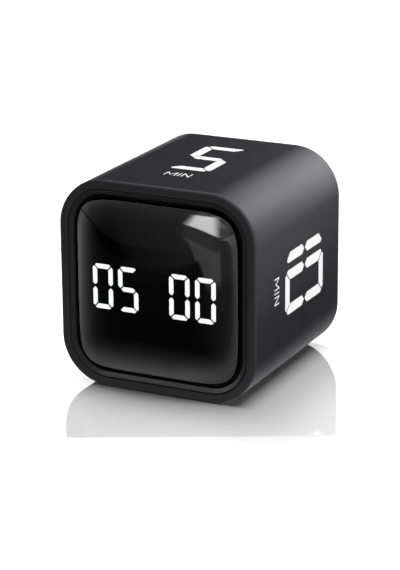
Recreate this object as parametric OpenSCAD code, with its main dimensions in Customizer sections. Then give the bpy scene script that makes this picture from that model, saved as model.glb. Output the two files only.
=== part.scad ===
// Cube timer: a square sleeve with a domed display window in front and keys on its rear cover.
// +Z is up and the display faces -Y. The origin is under the middle, on the surface it stands on.

/* [Case] */
// Outside width and height of the square sleeve
case_w = 62; // [60:0.5:68]
// Depth from the front plane of the rim to the rear edge of the sleeve
case_depth = 60.6; // [58:0.2:70]
// Outside corner radius of the sleeve
corner_r = 14.4; // [13.6:0.1:15.2]
// Wall thickness of the sleeve
wall = 2.2; // [1.8:0.1:2.6]
// Rounding of the sleeve's rear edge
rear_edge_r = 0.8; // [0.4:0.1:1.2]
// Chamfer of the sleeve's front edge
front_edge = 0.3; // [0.1:0.05:0.5]
// Depth of the rear cover inside the sleeve's rear edge
rear_recess = 1.2; // [1:0.1:2]

/* [Rim and bezel] */
// Width of the flat rim band seen from the front
rim_band = 2.6; // [2.4:0.05:3]
// How far the rim stands in front of the sleeve
rim_stand = 0.8; // [0.5:0.1:1.2]
// Step in from the sleeve's outline to the rim's outline
rim_inset = 0.15; // [0.05:0.05:0.4]
// Rounding of the rim's outer edge
rim_edge_r = 0.45; // [0.2:0.05:0.7]
// Width of the sloping bezel, with the groove outside it
bezel_band = 1.65; // [1.6:0.05:2.2]
// Width of the groove between rim and bezel
groove_w = 0.3; // [0.2:0.05:0.5]
// Depth of the groove-side edge of the bezel behind the rim plane
bezel_drop = 0.12; // [0.05:0.01:0.3]
// Depth of the lens-side edge of the bezel behind the rim plane
bezel_fall = 0.8; // [0.5:0.05:1.3]
// Width of the dark gap round the lens
lens_gap = 1.2; // [0.8:0.05:1.4]

/* [Lens] */
// How far the top of the dome stands in front of the rim plane
lens_proud = 4.3; // [3.5:0.1:5.5]
// Depth of the dome's edge behind the rim plane
lens_edge = 0.4; // [0.2:0.05:0.8]
// Wall thickness of the lens
lens_wall = 1.1; // [0.9:0.05:1.4]
// Depth of the lens flange's front face behind the rim plane
lens_seat = 2.5; // [2.3:0.1:3]
// Thickness of the lens flange
flange_t = 1.2; // [1.1:0.1:1.6]
// Overlap of the lens flange behind the bezel
flange_lap = 0.55; // [0.5:0.05:0.9]
// Height of the gasket in the gap round the lens
gasket_h = 0.8; // [0.5:0.1:1]

/* [Display] */
// Digits shown, left to right
shown = [0, 5, 0, 0]; // [0:1:9]
// Width of a digit
digit_w = 6.4; // [6.3:0.05:6.9]
// Height of a digit
digit_h = 13.4; // [13:0.1:14.6]
// Stroke of a digit
digit_stroke = 1.4; // [1.35:0.05:1.6]
// Spacing of the two digits of a pair
digit_pitch = 8.1; // [7.9:0.05:8.4]
// Spacing of the two pairs
pair_pitch = 24.3; // [24:0.1:25]
// Gap between neighbouring segments
segment_gap = 0.4; // [0.25:0.05:0.5]
// Radius of the two dots between the pairs
dot_r = 0.8; // [0.6:0.05:1]
// Depth of the segment inserts
insert_t = 1; // [0.6:0.1:1.4]
// Thickness of the display board
display_board_t = 1.2; // [1:0.1:1.6]

/* [Markings] */
// Minutes on the top face
top_minutes = 5; // [1:1:99]
// Minutes on the right face
right_minutes = 10; // [1:1:99]
// Minutes on the underside
bottom_minutes = 30; // [1:1:99]
// Minutes on the left face
left_minutes = 60; // [1:1:99]
// Width of a numeral
numeral_w = 13.4; // [12:0.1:14.4]
// Height of a numeral
numeral_h = 27.2; // [24:0.1:30]
// Stroke of a numeral
numeral_stroke = 3.05; // [2.7:0.05:3.5]
// Space between two numerals
numeral_space = 2.2; // [1.5:0.1:2.5]
// Distance of the numerals behind the middle of the depth
numeral_back = 4; // [3:0.1:6]
// Distance of the label ahead of the middle of the depth
label_ahead = 15.5; // [14:0.1:18]
// Height of the label's letters
label_h = 3.3; // [2.5:0.1:4]
// Stroke of the label's letters
label_stroke = 0.35; // [0.3:0.05:0.6]
// Depth of the inlaid markings
ink_t = 0.15; // [0.1:0.05:0.3]

/* [Inside] */
// Depth of the carrier behind the lens
carrier_depth = 6.3; // [5.8:0.1:8]
// Plate thickness of the carrier
carrier_t = 2; // [1.9:0.1:2.4]
// Width of the battery cell
battery_w = 40; // [34:0.5:41]
// Height of the battery cell
battery_h = 30; // [28:0.5:32]
// Thickness of the battery cell
battery_t = 8; // [5:0.5:12]
// Thickness of the adhesive pads under the cell
pad_t = 1; // [0.5:0.1:1.5]
// Width and height of the main board
board_w = 44; // [43:0.5:46]
// Thickness of the main board
board_t = 1.6; // [1.2:0.1:2]
// Width of the ribbon cable
ribbon_w = 8; // [5:0.5:9]
// Radius of the battery leads
lead_r = 0.6; // [0.4:0.05:0.8]

/* [Rear] */
// Thickness of the rear cover
cover_t = 2; // [1.8:0.1:2.6]
// Height of the standoffs between main board and rear cover
standoff_h = 8.8; // [8.6:0.1:11]
// Radius of the keys
key_r = 4.5; // [4:0.1:4.9]
// Spacing of the keys
key_pitch = 14.5; // [13.6:0.1:14.8]
// Height of the row of keys above the middle
key_row = 11; // [10:0.1:11.2]
// How far the keys stand out of the rear cover
key_proud = 0.6; // [0.3:0.1:0.9]
// Travel of a key
key_travel = 0.5; // [0.3:0.05:0.8]
// Travel of the sound slider to each side
slider_travel = 2; // [1.5:0.1:2.2]
// Distance of the sound slider from the middle
slider_x = 14.5; // [14:0.1:15.5]
// Clearance between the slider's base and the corner bosses below it
row_gap = 0.85; // [0.5:0.05:1.2]
// Distance of the charge light from the middle
light_x = 9; // [8:0.1:12]
// Radius of the charge light pipe
pipe_r = 1; // [0.8:0.1:1.2]
// Radius of the buzzer
buzzer_r = 6.5; // [5.5:0.1:7]
// Height of the buzzer's middle below the middle of the case
buzzer_row = 3; // [2.6:0.1:4]

/* [Fits] */
// Clearance between parts that are pushed together
fit = 0.1; // [0.05:0.01:0.15]
// Clearance round moving keys and slider
run = 0.25; // [0.2:0.05:0.4]
// Clearance between screw shank and its pilot bore
screw_fit = 0.05; // [0.02:0.01:0.1]

/* [Hidden] */
$fn = 96;
eps = 0.5;

// Outlines share the corner centres at +-core and differ in their corner radius
core = case_w / 2 - corner_r;
sleeve_in = corner_r - wall;
rim_in = corner_r - rim_band;
bezel_in = rim_in - bezel_band;
lens_rho = bezel_in - lens_gap;
flange_rho = bezel_in + flange_lap;
spigot_out = sleeve_in - fit;
nose_rho = flange_rho + fit;
spigot_in = nose_rho + fit;

// Levels along the depth, measured from the rim plane towards the viewer
flange_front_z = -lens_seat;
flange_back_z = flange_front_z - flange_t;
bezel_seat_z = -(lens_seat + bezel_fall) / 2;
spigot_end_z = flange_back_z - 1.5;
carrier_back_z = flange_back_z - carrier_depth;
carrier_plate_z = flange_back_z - carrier_t;
battery_front_z = carrier_back_z - pad_t;
battery_back_z = battery_front_z - battery_t;
cover_out_z = rear_recess - case_depth;
cover_in_z = cover_out_z + cover_t;
board_rear_z = cover_in_z + standoff_h;
board_front_z = board_rear_z + board_t;

// Power of the superellipse that meets a rounded square at its sides and on its diagonals
function outline_power(rho) = ln(2) / ln((core + rho) / (core + rho / sqrt(2)));

// Lens: pillow dome over a superellipse that follows the rounded square
lens_half = core + lens_rho;
lens_in = lens_half - lens_wall;
lens_power = outline_power(lens_rho);
flange_power = outline_power(flange_rho);
dome_flat = 3;
dome_rise = lens_proud + lens_edge;
inner_rise = dome_rise - lens_wall;
dome_steps = 10;
dome_sides = 56;

// Display block: its front comes as near to the dome as its corners allow
block_x = (pair_pitch + digit_pitch + digit_w) / 2 + 0.6;
block_y = digit_h / 2 + 0.6;
block_norm = pow(pow(block_x, lens_power) + pow(block_y, lens_power), 1 / lens_power) / lens_in;
display_z = inner_rise * (1 - pow(block_norm, dome_flat)) - lens_edge - 0.2;
reflector_t = flange_t - 0.2;
block_back_z = flange_back_z - 1;
display_back_z = block_back_z - display_board_t;
digit_x = [for (pair = [-1, 1], side = [-1, 1]) (pair * pair_pitch + side * digit_pitch) / 2];
dot_y = digit_h / 5;
lip = 0.25;
display_w = 2 * block_x + 2.8;
display_h = 2 * block_y + 5;
display_spots = [for (sx = [-1, 1], sy = [-1, 1]) [sx * (block_x - 1), sy * (block_y + 1.3)]];

// Screw bosses in the four corners
boss_r = 3;
boss_reach = sleeve_in - boss_r - 1;
boss_xy = core + boss_reach / sqrt(2);
boss_spots = [for (sx = [-1, 1], sy = [-1, 1]) [sx * boss_xy, sy * boss_xy]];
front_boss_h = 3;
rear_boss_h = standoff_h - 0.8;
screw_r = 1.1;
screw_hole_r = screw_r + 0.25;
board_screw_r = 0.85;
display_screw_r = 0.7;
standoff_r = 2.4;

// Battery, ribbon and leads
rail_y = max(display_h / 2 + 0.5, battery_h / 2 - 3);
rail_w = 2.5;
guard_h = 3;
ribbon_t = 0.3;
ribbon_bend = 1.5;
ribbon_x = max(battery_w, display_w) / 2 + 1.4;
ribbon_grip = 1.6;
socket_in = 14.5;
socket_out = 19.5;
socket_h = 2;
lead_space = 2.2;
lead_y = battery_h / 2 + guard_h / 2;
lead_bend = 2;
lead_jog = 8;
plug = [6, 4.2, 5];
board_head_r = 1.8;
plug_x = -key_pitch / 2 - board_head_r - plug[0] / 2 - 2;
lead_from_x = plug_x + lead_jog;

// Keys, slider and socket
key_x = [key_pitch, 0, -key_pitch];
key_flange_t = 1;
key_flange_r = key_r + 0.8;
switch_w = 6;
switch_h = 3.5;
plunger_r = 1.7;
plunger_proud = 1.5;
plunger_bore = 2.5;
plunger_z = board_rear_z - switch_h - plunger_proud;
slide_body = [8.6, 4.4, 4.2];
lever = [2, 1.8];
grip = [4, 3];
slider_base_t = 1;
slider_base = [grip[0] + 4 * slider_travel + 2 * run + 1, grip[1] + 2 * run + 1.2];
slider_top_z = cover_in_z + run;
socket_row = boss_xy - boss_r - row_gap - slider_base[1] / 2;
standoff_x = board_w / 2 - standoff_r - 0.1;
standoff_y = socket_row - slider_base[1] / 2 - standoff_r - 1;
standoff_spots = [
    [-key_pitch / 2, key_row + key_r + 3], [key_pitch / 2, key_row + key_r + 3],
    [-standoff_x, -standoff_y], [standoff_x, -standoff_y]
];
usb_size = [9, 3.3];
usb_wall = 0.3;
usb_depth = 6.2;
usb_mouth_z = cover_out_z + 0.4;
usb_floor_z = usb_mouth_z + usb_depth;

front_y = (lens_proud - case_depth) / 2;
shell_colour = [0.2, 0.2, 0.21];
trim_colour = [0.13, 0.13, 0.14];
board_colour = [0.08, 0.28, 0.16];
chip_colour = [0.1, 0.1, 0.1];
steel_colour = [0.72, 0.72, 0.74];
white_colour = [0.95, 0.95, 0.94];

// Segments a to g lit for the digits 0 to 9
LIT = [
    [0, 1, 2, 3, 4, 5], [1, 2], [0, 1, 3, 4, 6], [0, 1, 2, 3, 6], [1, 2, 5, 6],
    [0, 2, 3, 5, 6], [0, 2, 3, 4, 5, 6], [0, 1, 2], [0, 1, 2, 3, 4, 5, 6], [0, 1, 2, 3, 5, 6]
];
function is_lit(digit, segment) = len([for (s = LIT[digit]) if (s == segment) s]) > 0;
function digits(minutes) = minutes < 10 ? [minutes] : [floor(minutes / 10), minutes % 10];
function glyph_w(digit) = digit == 1 ? numeral_stroke : numeral_w;

// Middle, turn and length of a segment in a digit of width w, height h and stroke s
function segment_at(i, w, h, s) =
    i == 0 ? [0, (h - s) / 2, 0, w - 2 * s] :
    i == 3 ? [0, (s - h) / 2, 0, w - 2 * s] :
    i == 6 ? [0, 0, 0, w - 2 * s] :
    [(i < 3 ? 1 : -1) * (w - s) / 2, (i == 1 || i == 5 ? 1 : -1) * h / 4, 90, h / 2 - 1.5 * s];

// Turns the front view (x right, y up, z to the viewer) into the standing part
module place() {
    translate([0, front_y, case_w / 2]) rotate([90, 0, 0]) children();
}

module at_level(z, height) {
    translate([0, 0, z]) linear_extrude(height) children();
}

// Rounded square with corner radius rho about the shared corner centres
module outline(rho) {
    square([2 * (core + rho), 2 * core], center = true);
    square([2 * core, 2 * (core + rho)], center = true);
    for (sx = [-1, 1], sy = [-1, 1]) {
        translate([sx * core, sy * core]) circle(rho);
    }
}

// Carries a profile (distance from the corner centres, level) round the case
module around() {
    for (k = [0:3]) {
        rotate(90 * k) translate([core, core, 0]) {
            rotate_extrude(angle = 90) children();
            rotate([90, 0, 0]) linear_extrude(2 * core) children();
        }
    }
}

module pill(w, h) {
    square([w - h, h], center = true);
    for (s = [-1, 1]) {
        translate([s * (w - h) / 2, 0]) circle(h / 2);
    }
}

// Square corner of radius r less its quarter disc, to be taken from a sharp edge
module round_off(r) {
    difference() {
        square(r + eps);
        circle(r);
    }
}

// Top segment: mitred at both ends, outer corners cut by c, ends set back by k
module segment_a(w, h, s, c, k) {
    half = [
        [w / 2 - c, h / 2],
        [w / 2 - (c + k) / 2, h / 2 - (c - k) / 2],
        [w / 2 - s - k, h / 2 - s]
    ];
    polygon(concat(half, [for (i = [2:-1:0]) [-half[i][0], half[i][1]]]));
}

// Upper right segment: mitred at the top, pointed at the middle
module segment_b(w, h, s, c, k) {
    polygon([
        [w / 2, h / 2 - c],
        [w / 2 - (c - k) / 2, h / 2 - (c + k) / 2],
        [w / 2 - s, h / 2 - s - k],
        [w / 2 - s, s / 2 + k],
        [(w - s) / 2, k],
        [w / 2, s / 2 + k]
    ]);
}

module segment_g(w, s, k) {
    tip = (w - s) / 2 - k;
    shoulder = w / 2 - s - k;
    polygon([
        [tip, 0], [shoulder, s / 2], [-shoulder, s / 2],
        [-tip, 0], [-shoulder, -s / 2], [shoulder, -s / 2]
    ]);
}

module segment(i, w, h, s, cut) {
    k = segment_gap / sqrt(2);
    if (i == 6) {
        segment_g(w, s, k);
    } else if (i == 0 || i == 3) {
        mirror([0, i == 3 ? 1 : 0]) segment_a(w, h, s, cut * s, k);
    } else {
        mirror([i > 3 ? 1 : 0, 0]) mirror([0, i == 2 || i == 4 ? 1 : 0]) segment_b(w, h, s, cut * s, k);
    }
}

// Segments of the four display digits, either the lit or the dark ones
module display_segments(lit) {
    for (d = [0:3], i = [0:6]) {
        if (is_lit(shown[d], i) == lit) {
            translate([digit_x[d], 0]) segment(i, digit_w, digit_h, digit_stroke, 0.86);
        }
    }
}

module display_dots() {
    for (s = [-1, 1]) {
        translate([0, s * dot_y]) circle(dot_r);
    }
}

module at_each_segment() {
    for (d = [0:3], i = [0:6]) {
        spot = segment_at(i, digit_w, digit_h, digit_stroke);
        translate([digit_x[d] + spot[0], spot[1]]) rotate(spot[2]) {
            $segment_len = spot[3];
            children();
        }
    }
}

module number(minutes) {
    ds = digits(minutes);
    space = [for (i = [0:1]) i < len(ds) ? glyph_w(ds[i]) + (i > 0 ? numeral_space : 0) : 0];
    for (i = [0:len(ds) - 1]) {
        right = (i > 0 ? space[0] + space[1] : space[0]) - (space[0] + space[1]) / 2;
        translate([right - numeral_w / 2, 0]) {
            for (s = LIT[ds[i]]) {
                segment(s, numeral_w, numeral_h, numeral_stroke, 0.6);
            }
        }
    }
}

// Letters as one closed outline each, with a foot at the origin and diagonals 1.2 t wide
module letter_m(w, h, t) {
    dip = h * 0.2;
    slope = 2 * (h - dip) / w;
    polygon([
        [0, 0], [0, h], [1.2 * t, h], [w / 2, dip + 1.2 * t * slope], [w - 1.2 * t, h], [w, h],
        [w, 0], [w - t, 0], [w - t, h - t * slope], [w / 2, dip], [t, h - t * slope], [t, 0]
    ]);
}

module letter_n(w, h, t) {
    slope = h / (w - 1.2 * t);
    polygon([
        [0, 0], [0, h], [1.2 * t, h], [w - t, t * slope], [w - t, h],
        [w, h], [w, 0], [w - 1.2 * t, 0], [t, h - t * slope], [t, 0]
    ]);
}

module label() {
    m_w = label_h * 1.06;
    n_w = label_h * 0.78;
    space = label_h * 0.24;
    translate([-(m_w + n_w + label_stroke) / 2 - space, -label_h / 2]) {
        letter_m(m_w, label_h, label_stroke);
        translate([m_w + space, 0]) square([label_stroke, label_h]);
        translate([m_w + label_stroke + 2 * space, 0]) letter_n(n_w, label_h, label_stroke);
    }
}

// Marking of one side, turn 0 on top and then clockwise seen from the front
module marking(turn, minutes, t) {
    rotate(-90 * turn) translate([0, case_w / 2 - ink_t, -case_depth / 2]) {
        rotate([-90, 0, 0]) linear_extrude(t) {
            translate([0, numeral_back]) number(minutes);
            translate([0, -label_ahead]) label();
        }
    }
}

// Corner boss with a web that ties it to the sleeve's wall
module boss(spot, z, height) {
    translate([spot[0], spot[1], z]) {
        cylinder(r = boss_r, h = height);
        rotate(atan2(spot[1], spot[0])) translate([0, -1.5, 0]) {
            cube([sleeve_in - boss_reach + wall / 2, 3, height]);
        }
    }
}

// Screw with its head's underside at z = 0, shank to +z, cross recess in the head
module screw(r, length, head_r, head_h) {
    difference() {
        union() {
            cylinder(r = r, h = length);
            translate([0, 0, -head_h]) cylinder(r = head_r, h = head_h);
        }
        for (turn = [0, 90]) {
            rotate(turn) translate([-head_r * 0.6, -head_r * 0.13, -head_h - eps]) {
                cube([head_r * 1.2, head_r * 0.26, head_h * 0.6 + eps]);
            }
        }
    }
}

module block(x, y, z, size) {
    translate([x - size[0] / 2, y - size[1] / 2, z]) cube(size);
}

module body_sleeve() {
    color(shell_colour) place() difference() {
        union() {
            around() difference() {
                translate([sleeve_in, -case_depth]) square([wall, case_depth - rim_stand]);
                translate([corner_r - rear_edge_r, rear_edge_r - case_depth]) mirror([0, 1]) {
                    round_off(rear_edge_r);
                }
                translate([corner_r, -rim_stand]) rotate(45) {
                    square(front_edge * sqrt(2), center = true);
                }
            }
            for (spot = boss_spots) {
                boss(spot, carrier_back_z - front_boss_h, front_boss_h);
                boss(spot, cover_in_z, rear_boss_h);
            }
        }
        for (spot = boss_spots) {
            translate([spot[0], spot[1], carrier_back_z - front_boss_h - eps]) {
                cylinder(r = screw_hole_r, h = front_boss_h + 2 * eps);
            }
            translate([spot[0], spot[1], cover_in_z - eps]) {
                cylinder(r = screw_r + screw_fit, h = rear_boss_h - 1 + eps);
            }
        }
        marking(0, top_minutes, ink_t + eps);
        marking(1, right_minutes, ink_t + eps);
        marking(2, bottom_minutes, ink_t + eps);
        marking(3, left_minutes, ink_t + eps);
    }
}

module front_rim() {
    rim_out = corner_r - rim_inset;
    color(trim_colour) place() around() difference() {
        polygon([
            [rim_in, 0], [rim_out, 0], [rim_out, -rim_stand], [spigot_out, -rim_stand],
            [spigot_out, spigot_end_z], [spigot_in, spigot_end_z], [spigot_in, bezel_seat_z],
            [rim_in, bezel_seat_z]
        ]);
        translate([rim_out - rim_edge_r, -rim_edge_r]) round_off(rim_edge_r);
    }
}

module inner_bezel() {
    bezel_out = rim_in - groove_w;
    collar = spigot_in - fit;
    color(trim_colour) place() around() polygon([
        [bezel_out, -bezel_drop], [bezel_in, -bezel_fall], [bezel_in, flange_front_z + fit],
        [collar, flange_front_z + fit], [collar, bezel_seat_z], [bezel_out, bezel_seat_z]
    ]);
}

module lens_gasket() {
    color([0.03, 0.03, 0.03]) place() at_level(flange_front_z, gasket_h) difference() {
        outline(bezel_in - fit);
        outline(lens_rho + fit);
    }
}

// Half width, level and power of a dome's rings at the given angles from its top
function dome_rings(half, rise, angles) =
    [for (a = angles) [half * pow(sin(a), 2 / dome_flat), rise * pow(cos(a), 2) - lens_edge, lens_power]];

// Shell of superellipse rings from the dome's top, down the outside and up the inside
module lens() {
    flange_half = core + flange_rho;
    steps = [for (i = [1:dome_steps]) 90 * i / dome_steps];
    rings = concat(
        dome_rings(lens_half, dome_rise, steps),
        [[lens_half, flange_front_z, lens_power], [flange_half, flange_front_z, flange_power]],
        [[flange_half, flange_back_z, flange_power], [lens_in, flange_back_z, lens_power]],
        dome_rings(lens_in, inner_rise, [for (i = [dome_steps - 1:-1:0]) steps[i]])
    );
    n = dome_sides;
    last = n * len(rings);
    spots = [
        for (ring = rings, i = [0:n - 1])
            let (c = cos(360 * i / n), s = sin(360 * i / n))
            let (reach = ring[0] / pow(pow(abs(c), ring[2]) + pow(abs(s), ring[2]), 1 / ring[2]))
            [reach * c, reach * s, ring[1]]
    ];
    sides = [
        for (r = [0:len(rings) - 2], i = [0:n - 1])
            let (a = r * n + i, b = r * n + (i + 1) % n)
            each [[a, b, b + n], [a, b + n, a + n]]
    ];
    caps = [
        for (i = [0:n - 1])
            let (j = (i + 1) % n)
            each [[last, j, i], [last - n + i, last - n + j, last + 1]]
    ];
    tops = [[0, 0, lens_proud], [0, 0, lens_proud - lens_wall]];
    color([0.05, 0.05, 0.06, 0.6]) place() polyhedron(concat(spots, tops), concat(sides, caps));
}

module front_carrier() {
    step_z = spigot_end_z - fit;
    color(trim_colour) place() difference() {
        union() {
            at_level(step_z, flange_back_z - step_z) outline(nose_rho);
            at_level(carrier_back_z, step_z - carrier_back_z) difference() {
                outline(spigot_out);
                outline(spigot_out - 1.8);
            }
            at_level(carrier_plate_z, step_z - carrier_plate_z + eps) outline(nose_rho);
            at_level(carrier_plate_z, step_z - carrier_plate_z) outline(spigot_out);
            for (spot = boss_spots) {
                translate([spot[0], spot[1], carrier_back_z]) {
                    cylinder(r = boss_r, h = step_z - carrier_back_z);
                }
            }
            for (s = [-1, 1]) {
                block(0, s * (rail_y + rail_w / 2), carrier_back_z, [battery_w, rail_w, carrier_depth - 1]);
            }
        }
        at_level(carrier_plate_z - eps, carrier_t + 2 * eps) {
            square([display_w + 1, display_h + 1], center = true);
        }
        for (spot = boss_spots) {
            translate([spot[0], spot[1], carrier_back_z - eps]) {
                cylinder(r = screw_r + screw_fit, h = carrier_depth - 1 + eps);
            }
        }
    }
}

module display_reflector() {
    color([0.04, 0.04, 0.04]) place() difference() {
        union() {
            at_level(flange_back_z, reflector_t) outline(lens_rho - lens_wall - 0.6);
            block(0, 0, block_back_z, [2 * block_x, 2 * block_y, display_z - block_back_z]);
            for (spot = display_spots) {
                translate([spot[0], spot[1], block_back_z]) {
                    cylinder(r = 1.5, h = flange_back_z + reflector_t - block_back_z);
                }
            }
        }
        at_level(display_z - insert_t, insert_t + eps) {
            display_segments(true);
            display_segments(false);
            display_dots();
        }
        at_level(block_back_z - eps, display_z - block_back_z) {
            at_each_segment() square([$segment_len, digit_stroke - 2 * lip], center = true);
        }
        for (spot = display_spots) {
            translate([spot[0], spot[1], block_back_z - eps]) {
                cylinder(r = display_screw_r + screw_fit, h = 1.5 + eps);
            }
        }
    }
}

module segments_lit() {
    color([1, 1, 1]) place() at_level(display_z - insert_t, insert_t) display_segments(true);
}

module segments_unlit() {
    color([0.12, 0.12, 0.12]) place() at_level(display_z - insert_t, insert_t) {
        display_segments(false);
        display_dots();
    }
}

module display_board() {
    color(board_colour) place() at_level(display_back_z, display_board_t) difference() {
        square([display_w, display_h], center = true);
        for (spot = display_spots) {
            translate(spot) circle(display_screw_r + 0.15);
        }
    }
}

module segment_leds() {
    color([0.9, 0.85, 0.6]) place() at_level(block_back_z, 0.6) {
        at_each_segment() square([1.4, 0.8], center = true);
    }
}

module display_driver() {
    color(chip_colour) place() block(-6, 0, display_back_z - 1.6, [10.4, 5.4, 1.6]);
}

module display_screws() {
    color(steel_colour) place() for (spot = display_spots) {
        translate([spot[0], spot[1], display_back_z]) screw(display_screw_r, display_board_t + 1.4, 1.4, 1);
    }
}

module carrier_screws() {
    color(steel_colour) place() for (spot = boss_spots) {
        translate([spot[0], spot[1], carrier_back_z - front_boss_h]) {
            screw(screw_r, front_boss_h + carrier_depth - 1.8, 2.2, 1.4);
        }
    }
}

module battery_pads() {
    color([0.85, 0.85, 0.82]) place() for (s = [-1, 1]) {
        block(0, s * (rail_y + rail_w / 2), battery_front_z, [battery_w - 2, rail_w, pad_t]);
    }
}

module battery_cell() {
    r = 1.5;
    color([0.7, 0.71, 0.73]) place() at_level(battery_back_z, battery_t) {
        square([battery_w - 2 * r, battery_h], center = true);
        square([battery_w, battery_h - 2 * r], center = true);
        for (sx = [-1, 1], sy = [-1, 1]) {
            translate([sx * (battery_w / 2 - r), sy * (battery_h / 2 - r)]) circle(r);
        }
    }
}

module protection_board() {
    color([0.75, 0.6, 0.15]) place() {
        block(0, lead_y, (battery_front_z + battery_back_z) / 2, [battery_w * 0.7, guard_h, 1.2]);
    }
}

// Two leads from the cell's protection board to the plug, each with one sideways jog
module battery_leads() {
    start_z = (battery_front_z + battery_back_z) / 2;
    end_z = board_front_z + plug[2];
    turn_z = (start_z + end_z) / 2;
    for (s = [-1, 1]) {
        x = lead_from_x + s * lead_space / 2;
        bend_z = turn_z - s * lead_space / 2;
        color(s < 0 ? [0.75, 0.08, 0.06] : [0.06, 0.06, 0.06]) place() translate([0, lead_y, 0]) {
            translate([x, 0, bend_z + lead_bend]) cylinder(r = lead_r, h = start_z - bend_z - lead_bend);
            translate([x - lead_bend, 0, bend_z + lead_bend]) rotate([90, 0, 0]) {
                rotate_extrude(angle = -90) translate([lead_bend, 0]) circle(lead_r);
            }
            translate([x - lead_bend, 0, bend_z]) rotate([0, -90, 0]) {
                cylinder(r = lead_r, h = lead_jog - 2 * lead_bend);
            }
            translate([x - lead_jog + lead_bend, 0, bend_z - lead_bend]) rotate([90, 0, 0]) {
                rotate(90) rotate_extrude(angle = 90) translate([lead_bend, 0]) circle(lead_r);
            }
            translate([x - lead_jog, 0, end_z]) cylinder(r = lead_r, h = bend_z - lead_bend - end_z);
        }
    }
}

module battery_socket() {
    color([0.93, 0.91, 0.85]) place() {
        block(plug_x, lead_y, board_front_z, plug);
    }
}

// Flat strip from socket to socket, one bend at each end
module ribbon_cable() {
    top = display_back_z - socket_h / 2;
    low = board_front_z + socket_h / 2;
    straight = ribbon_x - ribbon_bend;
    color([0.92, 0.92, 0.9]) place() rotate([90, 0, 0]) linear_extrude(ribbon_w, center = true) {
        for (level = [low, top]) {
            translate([socket_out - ribbon_grip, level - ribbon_t / 2]) {
                square([straight - socket_out + ribbon_grip, ribbon_t]);
            }
        }
        translate([ribbon_x - ribbon_t / 2, low + ribbon_bend]) {
            square([ribbon_t, top - low - 2 * ribbon_bend]);
        }
        for (s = [-1, 1]) {
            translate([straight, s > 0 ? top - ribbon_bend : low + ribbon_bend]) intersection() {
                difference() {
                    circle(ribbon_bend + ribbon_t / 2);
                    circle(ribbon_bend - ribbon_t / 2);
                }
                mirror([0, s > 0 ? 0 : 1]) square(2 * ribbon_bend);
            }
        }
    }
}

module ribbon_sockets() {
    middle = (socket_in + socket_out) / 2;
    color([0.93, 0.91, 0.85]) place() for (z = [display_back_z - socket_h, board_front_z]) {
        difference() {
            block(middle, 0, z, [socket_out - socket_in, ribbon_w + 2, socket_h]);
            block(socket_out, 0, z + (socket_h - ribbon_t) / 2 - fit,
                  [2 * ribbon_grip + 0.4, ribbon_w + 2 * fit, ribbon_t + 2 * fit]);
        }
    }
}

module main_board() {
    color(board_colour) place() at_level(board_rear_z, board_t) difference() {
        square([board_w, board_w], center = true);
        for (spot = standoff_spots) {
            translate(spot) circle(board_screw_r + 0.2);
        }
    }
}

module timer_chip() {
    color(chip_colour) place() block(0, -3, board_front_z, [10, 10, 1.5]);
}

module tilt_sensor() {
    color(chip_colour) place() block(9, 10, board_front_z, [3, 3, 1]);
}

module charge_chip() {
    color(chip_colour) place() block(-10, -15, board_front_z, [4.9, 3.9, 1.5]);
}

module crystal() {
    color(steel_colour) place() block(-10, -3, board_front_z, [3.2, 2.5, 0.9]);
}

module buzzer() {
    color(chip_colour) place() difference() {
        translate([0, -buzzer_row, cover_in_z + 0.3]) cylinder(r = buzzer_r, h = standoff_h - 0.3);
        translate([0, -buzzer_row, cover_in_z + 0.3 - eps]) cylinder(r = 1, h = 2 + eps);
    }
}

module charge_led() {
    color([0.9, 0.85, 0.6]) place() block(-light_x, -socket_row, board_rear_z - 0.7, [1.6, 0.8, 0.7]);
}

module light_pipe() {
    color([0.9, 0.92, 0.95, 0.7]) place() translate([-light_x, -socket_row, 0]) {
        translate([0, 0, cover_out_z]) cylinder(r = pipe_r, h = cover_t + standoff_h - 1);
        translate([0, 0, cover_in_z]) cylinder(r = pipe_r + 0.7, h = 1);
    }
}

module key_switches() {
    color([0.16, 0.16, 0.17]) place() for (x = key_x) {
        difference() {
            block(x, key_row, board_rear_z - switch_h, [switch_w, switch_w, switch_h]);
            translate([x, key_row, board_rear_z - switch_h - eps]) {
                cylinder(r = plunger_r + fit, h = plunger_bore + eps);
            }
        }
    }
}

module plunger(x) {
    color([0.85, 0.85, 0.83]) place() translate([x, key_row, plunger_z]) {
        cylinder(r = plunger_r, h = plunger_proud + plunger_bore - key_travel - 0.5);
    }
}

module minute_plunger() {
    plunger(key_x[0]);
}

module second_plunger() {
    plunger(key_x[1]);
}

module start_plunger() {
    plunger(key_x[2]);
}

// Round cap with a dished end, a flange behind the cover and a stem to the plunger
module key(x) {
    flange_z = cover_in_z + run;
    top_z = cover_out_z - key_proud;
    dish_r = 24;
    color([0.17, 0.17, 0.18]) place() translate([x, key_row, 0]) difference() {
        union() {
            translate([0, 0, top_z]) cylinder(r = key_r, h = flange_z - top_z);
            translate([0, 0, flange_z]) cylinder(r = key_flange_r, h = key_flange_t);
            translate([0, 0, flange_z]) cylinder(r = 2, h = plunger_z - flange_z);
        }
        translate([0, 0, top_z - dish_r + 0.3]) sphere(dish_r);
    }
}

module minute_key() {
    key(key_x[0]);
}

module second_key() {
    key(key_x[1]);
}

module start_key() {
    key(key_x[2]);
}

module slide_switch() {
    slot = [lever[0] + 2 * slider_travel + 2 * run, lever[1] + 2 * run, 2.4 + eps];
    color([0.6, 0.6, 0.62]) place() difference() {
        block(slider_x, -socket_row, board_rear_z - slide_body[2], slide_body);
        block(slider_x, -socket_row, board_rear_z - slide_body[2] - eps, slot);
    }
}

module slide_lever() {
    low_z = board_rear_z - slide_body[2] + 1.8;
    high_z = slider_top_z + slider_base_t;
    color([0.9, 0.9, 0.88]) place() {
        block(slider_x, -socket_row, high_z, [lever[0], lever[1], low_z - high_z]);
    }
}

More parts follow.
